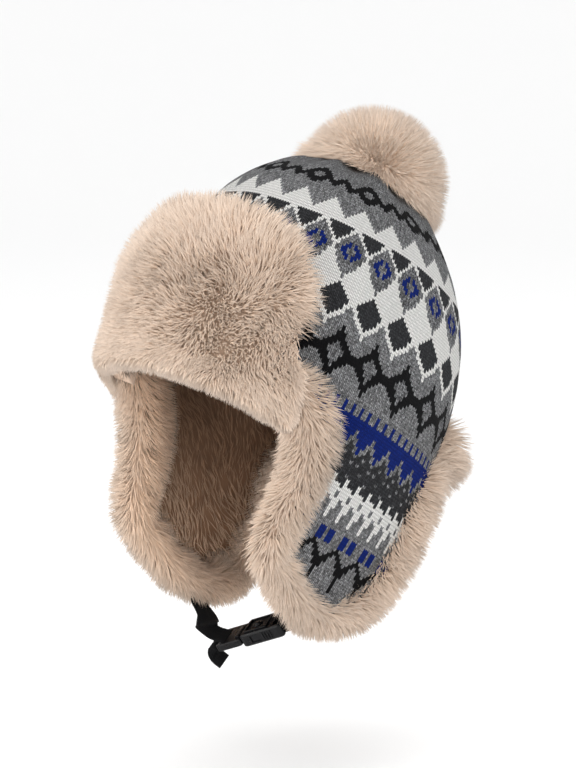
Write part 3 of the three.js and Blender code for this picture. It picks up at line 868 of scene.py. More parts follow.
@dataclass(frozen=True)
class WebbingFinish:
    """Ribbed black webbing whose ribs run across its length, with painted shade in the grooves of the
    weave.
    """

    name: str = "webbing"
    colour: tuple[float, float, float] = (0.007, 0.007, 0.008)
    ribs_per_metre: float = 900.0
    thread_share: float = 1.3
    fleck_scale: float = 2500.0
    painted_groove_shade: tuple[float, float, float] = (0.001, 0.001, 0.001)

    def material(self, fleck: bpy.types.NodeTree) -> bpy.types.Material:
        """Make the material.

        Args:
            fleck: The group that flecks the threads.

        Returns:
            The material.
        """
        made, n, shader = new_material(self.name)
        uv = n.add("SeparateXYZ", {0: n.add("UVMap", uv_map=STITCH_UV).outputs[0]})
        along = n.math("MULTIPLY", uv.outputs[1], self.ribs_per_metre)
        across = n.math("MULTIPLY", uv.outputs[0], self.ribs_per_metre * self.thread_share)
        offset = n.math("MULTIPLY", n.math("FLOOR", across), 0.5)
        rib, thread = (n.math("ABSOLUTE", n.math("SINE", n.math("MULTIPLY", value, math.pi)))
                       for value in (n.math("ADD", along, offset), across))
        weave = n.math("MULTIPLY", n.math("POWER", rib, 0.6), n.math("POWER", thread, 0.4))
        flecked = n.add("Group", {"Color": (*self.colour, 1), "Amount": 0.35,
                                  "Scale": self.fleck_scale}, node_tree=fleck).outputs["Color"]
        # Painted shade: the grooves between ribs and threads go darker.
        colour = n.mix(weave, n.mix(0.6, flecked, (*self.painted_groove_shade, 1)), flecked)
        bump = n.add("Bump", {"Strength": 0.6, "Distance": 0.0004, "Height": weave})
        n.feed(shader, {"Base Color": colour, "Normal": bump.outputs[0], "Roughness": 0.8,
                        "Specular IOR Level": 0.12})
        return made


@dataclass(frozen=True)
class PlasticFinish:
    """Black moulded plastic with a fine grain and soft handling wear."""

    name: str = "buckle_plastic"
    colour: tuple[float, float, float] = (0.0035, 0.0035, 0.004)

    def material(self) -> bpy.types.Material:
        """Make the material.

        Returns:
            The material.
        """
        made, n, shader = new_material(self.name)
        coords = n.add("TexCoord").outputs["Object"]
        grain = n.noise(4500.0, 2.0, coords)
        smears = n.noise(160.0, 3.0, coords)
        rough = n.add("MapRange", {0: smears, 1: 0.3, 2: 0.7, 3: 0.22, 4: 0.38}).outputs[0]
        worn = tuple(1.8 * part for part in self.colour)
        bump = n.add("Bump", {"Strength": 0.25, "Distance": 0.0001, "Height": grain})
        n.feed(shader, {"Base Color": n.ramp(smears, (0.3, self.colour), (0.8, worn)),
                        "Roughness": rough, "Specular IOR Level": 0.18, "Normal": bump.outputs[0]})
        return made


class Yarn(Enum):
    """The yarns by their letter in the charts, each with its colour and how strongly it is flecked."""

    GREY = (".", (0.25, 0.252, 0.258), 0.8)
    SALT = ("G", (0.22, 0.222, 0.23), 1.0)
    WHITE = ("W", (0.97, 0.96, 0.935), 0.08)
    CHARCOAL = ("C", (0.042, 0.043, 0.047), 0.5)
    BLACK = ("K", (0.005, 0.005, 0.006), 0.3)
    BLUE = ("B", (0.003, 0.019, 0.19), 0.3)

    def __init__(self, letter: str, colour: tuple[float, float, float], fleck: float) -> None:
        """Keep the yarn's values.

        Args:
            letter: Its letter in the charts.
            colour: Its colour.
            fleck: How strongly it is flecked.
        """
        self.letter = letter
        self.colour = colour
        self.fleck = fleck


@dataclass
class KnitChart:
    """The knitting chart, a band after another from the crown's tip down to the flaps' hem.

    Each band is a list of rows that repeat round the hat. brow_row is how many rows lie above the brow.
    """

    brow_row: int = 96
    rows: list[str] = field(default_factory=list)

    def __post_init__(self) -> None:
        """Stack the bands, so that the lattice ends at the brow line."""
        upper = self.chain() + ["."] * 3 + self.scallops() + self.flowers() + ["W"] + self.diamonds()
        lattice = self.lattice()
        self.overlay(upper, lattice, 2)
        stack = upper + lattice
        plain = ["."] * (self.brow_row - len(stack))
        lower = (["."] * 2 + self.blue_band() + self.zigzag() + self.lace() + ["."] * 2
                 + ["BB.BB..."] * 4 + self.forks() + ["."] * 12)
        self.rows = plain + stack + lower

    @staticmethod
    def overlay(upper: list[str], lower: list[str], count: int) -> None:
        """Let the last rows of one band hang into the first rows of the next.

        Args:
            upper: The band above, which loses the rows.
            lower: The band below, which takes their stitches.
            count: How many rows they share.
        """
        tail = upper[-count:]
        del upper[-count:]
        for k, row in enumerate(tail):
            lower[k] = "".join(a if a != "." else b for a, b in zip(row, lower[k]))

    @staticmethod
    def mirrored(halves: list[str]) -> list[str]:
        """Complete rows that are given from their middle stitch out to the repeat's edge."""
        return [half[::-1] + half[1:-1] for half in halves]

    def chain(self) -> list[str]:
        """Thick rings joined by a waving line with a knot half way."""
        return self.mirrored([
            "KK...........", "KKKK.........", "KKKKK.......K", "..KKKK....KKK", "...KKKK..KKKK",
            "..KKKKKKKKKK.", "KKKKK.KKKKK..", "KKKK....KK...", "KK...........",
        ])

    def scallops(self) -> list[str]:
        """Grey points that hang into a white band."""
        return self.mirrored([
            "W......", "WW.....", "WWW....", "WWWW...", "WWWWW..", "WWWWWW.", "WWWWWWW", "WWWWWWW",
        ])

    def flowers(self) -> list[str]:
        """Salt and pepper diamonds with a blue flower, under white edges, with charcoal between."""
        return self.mirrored([
            "WWCCCCC", "GWWCCCC", "GGWCCCC", "GGGWCCC", "GGGGWCC", "GBGGGWC", "GBBGGWW", "GGBBGGW",
            "GGBBGGW", "GBBGGWW", "GBGGGWW", "GGGGWWW", "GGGGWWW", "GGGWWWW", "GGWWWWW", "GWWWWWW",
            "GWWWWWW",
        ])

    def diamonds(self) -> list[str]:
        """Charcoal diamonds in white with a white edge towards the grey below."""
        return self.mirrored([
            "CWWWWWW", "CCWWWWW", "CCCWWWW", "CCCCWWW", "CCCCCWW", "CCCCCWW", "CCCCWW.", "CCCCW..",
            "CCCWW..", "CCWW...", "CWW....", "WW.....", "W......", "W......",
        ])

    def lattice(self) -> list[str]:
        """A black net with small grey diamonds and long points down."""
        return self.mirrored([
            "......K", "......K", ".....KK", ".....KK", "....KKK", "...KKKG", "..KKKGG", "KKKKGGG",
            "KKKKGGG", "KKKKKGG", "..KKKGG", "...KKKG", "....KKG", ".....KK", ".....KK", "......K",
            "......K",
        ])

    def blue_band(self) -> list[str]:
        """A blue band with teeth up and points down, with charcoal growing between the points."""
        return (["B..B.."] * 3 + ["BBBBBB"] * 3 + ["BB.BBB"] * 2 + ["B...BB", "B.C.BB"]
                + ["..CC.B", ".CCC.B"])

    def zigzag(self) -> list[str]:
        """A charcoal band flecked with grey stitches."""
        return (["CCGCC.", "CCCCCC", "CGCCCG", "CCCCCC", "CCCGCC", "CCCCCC", "GCCCCC"])

    def lace(self) -> list[str]:
        """A white lace with points up and down and small grey eyes."""
        return ["CCWC", "CCWC", "WCWW", "WWWW", "WGWW", "WGWW", "WWWG", ".WWG", ".WW.", ".W..", ".W..",
                ".W.."]

    def forks(self) -> list[str]:
        """Black forks under the blue dashes."""
        return ["K.......", "KK.....K", ".KK...KK", "..KK.KK.", "..KKKKK.", "...KKK..", "...KKK..",
                *["....K..."] * 5]

    def stitches(self, columns: int, count: int) -> Array:
        """Read the chart as yarn numbers.

        Args:
            columns: Stitches round the hat.
            count: Rows from the tip down.

        Returns:
            A row of yarn numbers for each knitted row, in the order of Yarn.
        """
        letters = {yarn.letter: k for k, yarn in enumerate(Yarn)}
        grid = np.zeros((count, columns), int)
        for i in range(min(count, len(self.rows))):
            row = self.rows[i]
            line = np.array([letters[c] for c in row])
            shift = len(row) // 2 if len(row) > 1 else 0
            grid[i] = line[(np.arange(columns) + shift) % len(row)]
        return grid


@dataclass
class KnitShell:
    """The knitted crown and flaps: a closed wall whose outside has two faces for every stitch."""

    form: HatForm
    columns: int = 288
    row_height: float = 2.05
    rows: int = 154
    leg_slant: float = 0.5
    edge_margin: float = 0.015
    lump: float = 0.9
    smooth_level: float = 0.3
    wave_share: float = 0.6
    pucker_level: float = 0.22
    pucker_span: float = 0.16
    pucker_count: int = 13
    pucker_lift: float = 1.5
    arc_steps: int = 400
    arc_turn: float = 60.0
    tip_rows: float = 0.8
    bake_share: float = 0.98
    heather: float = 0.55
    seed: int = 7

    def row_levels(self, lines: Array) -> Array:
        """Find the levels of row lines, evenly spaced along the knit from the brow up and down.

        Args:
            lines: Row lines, counted from the crown's tip.

        Returns:
            Their levels.
        """
        brow = KnitChart.brow_row
        levels = np.linspace(0, 1, self.arc_steps)
        arc = run_lengths(self.form.skin(np.full(self.arc_steps, self.arc_turn), levels))
        above = arc[-1] - (brow - lines) * (arc[-1] / (brow + self.tip_rows))
        down = 1 + (lines - brow) * self.row_height / self.form.flap_drop
        return np.where(lines <= brow, np.interp(above, arc, levels), down)

    @staticmethod
    def rims(kept: Array, outside: Callable[[int, int], int],
             inside: Callable[[int, int], int]) -> list[list[int]]:
        """List the faces that close the wall along its open edges.

        Args:
            kept: Which blocks of two rows by four legs are there.
            outside: Numbers a vertex of the outer face by row and leg.
            inside: Numbers a vertex of the inner face by row and leg of the blocks.

        Returns:
            The corners of each face.
        """
        rims = []
        bands, blocks = kept.shape
        for b, c in zip(*np.nonzero(kept)):
            if b + 1 == bands or not kept[b + 1, c]:
                edge = [outside(2 * b + 2, 4 * c + k) for k in (4, 3, 2, 1, 0)]
                rims.append(edge + [inside(b + 1, c), inside(b + 1, c + 1)])
            if not kept[b, (c + 1) % blocks]:
                edge = [outside(2 * b + k, 4 * c + 4) for k in (0, 1, 2)]
                rims.append(edge + [inside(b + 1, c + 1), inside(b, c + 1)])
            if not kept[b, c - 1]:
                edge = [outside(2 * b + k, 4 * c) for k in (2, 1, 0)]
                rims.append(edge + [inside(b, c), inside(b + 1, c)])
        return rims

    def build(self, material: bpy.types.Material) -> bpy.types.Object:
        """Build the knit.

        Args:
            material: The knit's finish.

        Returns:
            The piece.
        """
        form, cols, rows = self.form, self.columns * 2, self.rows
        line, half = np.meshgrid(np.arange(rows + 1), np.arange(cols), indexing="ij")
        levels = self.row_levels(line + np.where(half % 2 == 1, self.leg_slant, 0.0))
        turn = form.even_turn((half / cols * 360 + 180) % 360 - 180, levels)
        outer = self.lumpy(form.skin(turn, levels), turn, levels)
        inner_turn, inner_level = turn[::2, ::4], self.row_levels(line[::2, ::4].astype(float))
        inner = form.offset(inner_turn, inner_level, np.full(inner_turn.shape, -form.knit_thickness))
        inner = self.lumpy(inner, inner_turn, inner_level)
        ahead = (np.roll(inner_turn, -1, axis=1) - inner_turn + 180) % 360 - 180
        centre_turn = (inner_turn + ahead / 2)[:-1]
        centre_level = (inner_level[:-1] + inner_level[1:]) / 2
        kept = centre_level < form.hem_level(centre_turn) + self.edge_margin
        blocks, base = cols // 4, outer.size // 3

        def outside(i: Array, j: Array) -> Array:
            """Number the vertex at a row and a leg of the outer face."""
            return i * cols + j % cols

        def inside(i: Array, j: Array) -> Array:
            """Number the vertex at a row and a leg of the inner face's blocks."""
            return base + i * blocks + j % blocks

        i, j = np.nonzero(np.repeat(np.repeat(kept, 2, axis=0), 4, axis=1))
        steps = ((0, 0), (0, 1), (1, 1), (1, 0))
        quads = np.stack([outside(i + down, j + aside) for aside, down in steps], axis=1)
        uv = np.stack([np.stack([j + aside, i + down], axis=1) for aside, down in steps], axis=1)
        b, c = np.nonzero(kept)
        backs = np.stack([inside(b + down, c + aside) for down, aside in steps], axis=1)
        tip = base + inner.size // 3
        ring, small = np.arange(cols), np.arange(blocks)
        cap = np.stack([np.full(cols, tip), outside(0, ring), outside(0, ring + 1)], axis=1)
        under = np.stack([np.full(blocks, tip + 1), inside(0, small + 1), inside(0, small)], axis=1)
        tips = np.array([[0, 0, form.height], [0, 0, form.height - form.knit_thickness]])
        points = form.to_part(np.concatenate([outer.reshape(-1, 3), inner.reshape(-1, 3), tips]))
        rims = self.rims(kept, outside, inside)
        even = [quads, backs, cap, under]
        corners = np.concatenate([f.ravel() for f in even] + [np.concatenate(rims)])
        sizes = np.concatenate([np.full(len(f), f.shape[1]) for f in even] + [[len(r) for r in rims]])
        stitch = np.concatenate([uv.reshape(-1, 2), np.zeros((len(corners) - uv.size // 2, 2))])
        used, corners = np.unique(corners, return_inverse=True)
        parts = MeshParts()
        parts.add(points[used], corners, sizes, stitch / np.array([cols, rows]) * self.bake_share)
        piece = parts.build("knit_shell_stitches")
        add_stitch_map(piece, stitch)
        palette = np.array([(*yarn.colour, yarn.fleck) for yarn in Yarn])
        legs = palette[KnitChart().stitches(self.columns, rows)[i, j // 2]]
        speckle = 2 * np.random.default_rng(self.seed).random(len(legs)) - 1
        legs[:, :3] *= 1 + (self.heather * legs[:, 3] * speckle)[:, None]
        shades = np.concatenate([legs, np.tile(palette[0], (len(sizes) - len(quads), 1))])
        attribute = piece.data.attributes.new("yarn", "FLOAT_COLOR", "CORNER")
        attribute.data.foreach_set("color", np.repeat(shades, sizes, axis=0).astype(np.float32).ravel())
        return finish_piece(piece, "knit", material, "knit_shell")

    def lumpy(self, points: Array, turn: Array, level: Array) -> Array:
        """Let the knit ride gently up and down over the lining.

        Args:
            points: Points of the outer face.
            turn: Their turns.
            level: Their levels.

        Returns:
            The points, moved along their normals.
        """
        angle = np.radians(turn)
        waves = (np.sin(3 * angle + 5 * level) * np.cos(7 * level + 2 * angle)
                 + 0.6 * np.sin(9 * angle - 11 * level))
        pucker = np.clip(1 - ((level - self.pucker_level) / self.pucker_span) ** 2, 0, 1)
        folds = np.sin(self.pucker_count * angle + 2 * np.sin(3 * angle))
        lift = (waves * fade(level, 0, self.smooth_level) * self.wave_share
                + self.pucker_lift * pucker * folds)
        out = self.lump * lift + self.form.shoulder(turn, level)
        return points + self.form.normal(turn, level) * out[..., None]


@dataclass
class FurPieces:
    """The brim, the trims, the lining and the pompom, each hairs on a closed under-body."""

    form: HatForm
    trim_thickness: float = 27.0
    nape_thickness: float = 32.0
    trim_width: float = 22.0
    trim_reach: float = 2.0
    temple_cover: float = 26.0
    flap_start: float = 0.15
    flap_end: float = 0.84
    brim_top: float = 70.0
    brim_half_turn: float = 64.0
    brim_slant_turn: float = 14.0
    brim_thickness: float = 15.0
    brim_drop: float = 31.0
    brim_arch: float = 6.5
    pompom_diameter: float = 90.0
    pompom_rise: float = 1.0
    pompom_set_back: float = 9.0
    pompom_sink: float = 2.5
    body_share: float = 0.42
    body_half_span: float = 0.86
    start_taper: float = 0.1
    end_taper: float = 0.05
    fur_gap: float = 0.5
    taper_power: float = 0.6
    hem_step: float = 0.006
    cover_part: float = 0.5
    cover_lift: float = 0.12
    root_share: float = 0.92
    rear_growth: float = 0.35
    brim_base: float = 3.0
    brim_fold: float = 0.9
    brim_over: float = 1.1
    brim_under: float = 0.3
    brim_foot: float = 0.12
    brim_roots: float = 0.9
    backing: float = 3.2
    lining_top: float = 0.02
    pompom_body: float = 0.76
    pompom_roots: float = 0.6
    pompom_bottom: float = -0.72
    pompom_gap: float = 8.0

    def roll(self, way: Array, angle: Array, start: float, end: float, thickness: float,
             cover_max: float, share: float) -> tuple[Array, Array, Array]:
        """Find points on the oval roll that follows the hem.

        Args:
            way: Where along the hem, as its way round the hat.
            angle: Where round the roll, 0 away from the head and a quarter turn beyond the hem.
            start: The way where the roll starts.
            end: The way where it ends.
            thickness: The roll's thickness across the wall.
            cover_max: How far it covers the knit at its start.
            share: How large the roll is against its outer form.

        Returns:
            Points, their outward ways and the ways beyond the hem, in the hat's frame.
        """
        form = self.form
        turn, level = form.hem(way)
        ahead = form.skin(*form.hem(way + self.hem_step))
        behind = form.skin(*form.hem(way - self.hem_step))
        normal = form.normal(turn, level)
        beyond = unit(np.cross(unit(ahead - behind), normal))
        part = (way - start) / (end - start)
        cover = cover_max * np.clip(1 - part / self.cover_part, 0, None) ** 2
        centre = form.offset(turn, level, form.lining_inner / 2 + cover * self.cover_lift)
        centre = centre + beyond * (self.trim_reach - cover / 2)[:, None]
        out = normal * np.cos(angle)[:, None] + beyond * np.sin(angle)[:, None]
        taper = np.minimum(part / self.start_taper, (1 - part) / self.end_taper)
        round_end = np.clip(taper, 0.01, 1) ** self.taper_power
        half = (self.trim_width + cover) / 2 - self.trim_width / 2 * (1 - share)
        point = (centre + normal * (np.cos(angle) * thickness / 2 * share * round_end)[:, None]
                 + beyond * (np.sin(angle) * half * round_end)[:, None])
        return point, out, beyond

    def edge(self, name: str, start: float, end: float, thickness: float, cover: float, pile: Pile,
             material: bpy.types.Material, node: str) -> bpy.types.Object:
        """Build a fur edge along the hem.

        Args:
            name: The piece's name.
            start: The way round the hat where it starts.
            end: The way where it ends.
            thickness: Its thickness across the wall.
            cover: How far it covers the knit at its start.
            pile: How its hairs grow.
            material: The fur's finish.
            node: The CAD node that it stands for.

        Returns:
            The piece.
        """
        form, parts = self.form, MeshParts()

        def roll(way: Array, angle: Array, share: float) -> tuple[Array, Array, Array]:
            """Find points of this piece's own roll."""
            return self.roll(way, angle, start, end, thickness, cover, share)

        def place(around: Array, along: Array) -> Array:
            """Place the under-body's points."""
            way = start + (end - start) * along
            return form.to_part(roll(way, around * 2 * math.pi, self.body_share)[0])

        # The under-body is coloured between root and middle, painted shade so that the gaps between
        # hairs look deep.
        parts.add_bmesh(closed_sweep(20, 90, place), (0.5, 0.3))
        body_count = parts.total
        rng = pile.placing
        way = start + (end - start) * rng.random(pile.count)
        angle = rng.random(pile.count) * 2 * math.pi
        point, out, beyond = roll(way, angle, self.body_share * self.root_share)
        part, turned_out = (way - start) / (end - start), np.cos(angle)
        inward = fade(turned_out, 0.25, -0.75)[:, None]
        ways = unit(out * (1 - 0.3 * inward) + beyond * (0.15 - 0.75 * inward)
                    + form.down * (0.45 + 0.35 * inward))
        reach = rear = np.ones(pile.count)
        if cover > 0:
            reach = (1 + 0.15 * inward[:, 0]) * (0.55 + 0.45 * fade(part, 0, 0.15))
            rear = fade(part, 0.6, 0.8)
        longer = 1 + self.rear_growth * rear * fade(turned_out, -0.6, 0.4)
        pile.grow(parts, form, point, ways, out, reach * longer)
        piece = parts.build(name)
        # Painted light on the hairs that turn in towards the head, strongest at the trim's start.
        painted_inside_share = np.clip(0.1 - 1.1 * turned_out, 0, 1) * (1 - part ** 1.5)
        mark_painted_inside(piece, body_count, 0.2, painted_inside_share)
        return finish_piece(piece, "beige_fur", material, node)

    def brim_point(self, across: Array, rise: Array, share: float) -> Array:
        """Find points on the turned-up brim's front, or under it where the rise is below zero.

        Args:
            across: From -1 at the wearer's right end to 1 at the left end.
            rise: From 0 at the brim's foot to 1 at its top, and to -1 at its inner edge.
            share: How thick the brim is against its outer form.

        Returns:
            Points in the hat's frame.
        """
        edge = np.sqrt(np.clip(1 - np.abs(across) ** 4, 0, None))
        low = self.brim_arch * (1 - across ** 2) - self.brim_drop
        high = (self.brim_top + self.brim_drop) * (0.5 + 0.5 * edge) - self.brim_drop
        up, under = np.clip(rise, 0, 1), np.clip(-rise, 0, 1)
        turn = across * (self.brim_half_turn - self.brim_slant_turn * up)
        swell = np.sqrt(np.clip(1 - np.abs(2 * up - 1) ** 3, 0, None)) * (0.45 + 0.75 * up)
        puff = swell * (0.5 + 0.5 * edge) * share * (0.45 + 1.3 * up)
        out = self.brim_base + (self.brim_thickness - self.brim_base) * puff
        fold = fade(np.abs(across), 1, self.brim_fold)
        out = out + (self.form.lining_inner - self.brim_base - out) * under * fold
        level = self.form.level_at(low + (high - low) * up)
        return self.form.offset(turn, level, out)

    def brim(self, pile: Pile, material: bpy.types.Material) -> bpy.types.Object:
        """Build the turned-up fur front.

        Args:
            pile: How its hairs grow.
            material: The fur's finish.

        Returns:
            The piece.
        """
        form, parts = self.form, MeshParts()

        def place(around: Array, along: Array) -> Array:
            """Place the under-body's points."""
            across = self.body_half_span * (2 * along - 1)
            rise = np.interp(around, [0, 0.2, 0.75, 1.0], [-1.0, 0.0, 1.0, 1.0])
            point = self.brim_point(across, rise, self.body_share)
            back = np.clip((around - 0.75) / 0.25, 0, 1)[:, None]
            inner = self.brim_point(across, -np.ones_like(rise), self.body_share)
            behind = self.brim_point(across, np.ones_like(rise), 0.0)
            foot = point * (1 - back) + behind * back
            return form.to_part(np.where(around[:, None] > 0.999, inner, foot))

        # The under-body is coloured between root and middle, painted shade so that the gaps between
        # hairs look deep.
        parts.add_bmesh(closed_sweep(24, 72, place), (0.5, 0.3))
        rng = pile.placing
        across = np.clip(2 * self.brim_over * rng.random(pile.count) - self.brim_over, -1, 1)
        rise = rng.random(pile.count) * (1 + self.brim_under) - self.brim_under
        at_foot = rng.random(pile.count) < self.brim_foot
        rise = np.where(at_foot, self.brim_foot * rng.random(pile.count), rise)
        point = self.brim_point(across, rise, self.body_share * self.brim_roots)
        step = 0.02
        side = (self.brim_point(across + step, rise, self.body_share)
                - self.brim_point(across - step, rise, self.body_share))
        climb = (self.brim_point(across, rise + step, self.body_share)
                 - self.brim_point(across, rise - step, self.body_share))
        normal = unit(np.cross(side, climb))
        aside = unit(side) * (0.75 * across * np.abs(across) ** 0.5)[:, None]
        sink = fade(rise, 0.3, 0) * (0.3 + 1.1 * rng.random(pile.count))
        lift = unit(climb) * (1.6 * np.clip(rise - 0.4, 0, 1) - sink)[:, None]
        hanging = unit(normal * 0.7 + form.down * 0.9)
        ways = np.where((rise < 0)[:, None], hanging, unit(normal + aside + lift))
        reach = np.where(rise < 0, 0.65, 0.6 + 0.5 * fade(rise, 0, 0.6))
        reach *= 1 - 0.4 * fade(-across, 0.4, 0.7) * fade(rise, 0.65, 0.15)
        pile.grow(parts, form, point, ways, normal, reach)
        return finish_piece(parts.build("front_brim_fur"), "beige_fur", material, "front_brim")

    def lining(self, pile: Pile, material: bpy.types.Material) -> bpy.types.Object:
        """Build the lining: a thin backing with its pile combed down towards the hem.

        Args:
            pile: How its hairs grow.
            material: The lining's finish.

        Returns:
            The piece.
        """
        form, parts, inner_face = self.form, MeshParts(), self.form.lining_outer - self.backing
        top = self.lining_top

        def wall(way_share: Array, share: Array, out: Array) -> Array:
            """Find points between the crown's tip and the hem."""
            way = way_share * 2
            hem_turn, hem_level = form.hem(way)
            even = np.where(way > 1, (way - 2) * 180, way * 180)
            level = hem_level * share
            high_turn = hem_turn + (even - hem_turn) * 0.5
            turn = high_turn + (hem_turn - high_turn) * share ** 1.6
            return form.offset(turn, level, out)

        def place(around: Array, along: Array) -> Array:
            """Place the under-body's points."""
            outer = along < 0.5
            climb = 2 * (1 - top) * along
            share = np.where(outer, top + climb, 2 - top - climb + top)
            out = np.where(outer, form.lining_outer, inner_face)
            return form.to_part(wall(around % 1, np.clip(share, top, 1), out))

        # The backing is coloured near the root colour, painted shade so that the gaps between hairs
        # look deep.
        parts.add_bmesh(closed_sweep(80, 41, place), (0.5, 0.1))
        backing_count = parts.total
        rng = pile.placing
        around = rng.random(pile.count)
        share = np.clip(rng.random(pile.count) ** 0.6, 0.03, 1)
        point = wall(around, share, np.full(pile.count, inner_face))
        below = wall(around, np.clip(share + 0.01, 0, 1.1), np.full(pile.count, inner_face))
        facing = unit(wall(around, share, np.full(pile.count, form.lining_inner)) - point)
        ways = unit(facing * 0.6 + unit(below - point) * 0.9)
        pile.grow(parts, form, point, ways, facing, 0.8 + 0.5 * np.clip(share - 0.6, 0, 1))
        piece = parts.build("fur_lining_pile")
        # Painted shade on the lining, deepest high inside the hat and lighter towards the hem.
        mark_painted_inside(piece, backing_count, 1.0, fade(share, 1.15, 0.65))
        return finish_piece(piece, "lining_fur", material, "fur_lining")

    def pompom(self, pile: Pile, material: bpy.types.Material) -> bpy.types.Object:
        """Build the pompom: hairs that fan out from the crown's tip to a round ball.

        Args:
            pile: How its hairs grow.
            material: The fur's finish.

        Returns:
            The piece.
        """
        form, parts, radius = self.form, MeshParts(), self.pompom_diameter / 2
        centre = np.array([0.0, self.pompom_set_back,
                           form.height + self.pompom_rise - self.pompom_sink])
        bm = bmesh.new()
        bmesh.ops.create_icosphere(bm, subdivisions=4, radius=1.0)
        spots = centre + np.array([v.co for v in bm.verts]) * radius * self.pompom_body
        for vert, point in zip(bm.verts, form.to_part(self.off_crown(spots, 0))):
            vert.co = point
        parts.add_bmesh(bm, (0.5, 0.55))
        rng = pile.placing
        ways = unit(rng.normal(size=(pile.count * 2, 3)))
        ways = ways[ways[:, 2] > self.pompom_bottom][:pile.count]
        gap = self.pompom_gap * rng.random(len(ways))

        def settle(points: Array) -> Array:
            """Keep points of the hairs off the crown."""
            return self.off_crown(points, gap)

        roots = settle(centre + ways * radius * self.pompom_roots)
        low = fade(ways[:, 2], 0, -0.5)
        reach = 1 + 0.4 * low * (0.6 + 0.4 * (ways[:, 1] < 0))
        pile.grow(parts, form, roots, ways, unit(ways + np.array([0, 0, 0.5])), reach, settle)
        return finish_piece(parts.build("pompom_fur"), "beige_fur", material, "pompom")

    def off_crown(self, points: Array, gap: Array | float) -> Array:
        """Push points out of the crown, so that what lies on it keeps a small gap.

        Args:
            points: Points in the hat's own frame.
            gap: How much further off than the fur's usual gap they stay.

        Returns:
            The points, moved where they were too low.
        """
        form = self.form
        lift = np.clip(points[:, 2] / form.height, -1, 2)
        angle = np.arctan2(points[:, 0], -points[:, 1])
        reach = np.where(np.cos(angle) > 0, form.front_reach, form.back_reach)
        power = form.dome_power
        spread = ((np.abs(points[:, 0]) / form.half_width) ** 2 + (points[:, 1] / reach) ** 2) ** 0.5
        size = (spread ** power + np.abs(lift) ** power) ** (1 / power)
        level = form.level_at(np.clip(points[:, 2], 0, form.height))
        rise = 1 + (self.fur_gap + gap + form.shoulder(np.degrees(angle), level)) / form.height
        grow = np.maximum(1, rise / np.maximum(size, 1e-6))
        return points * np.asarray(grow)[:, None]


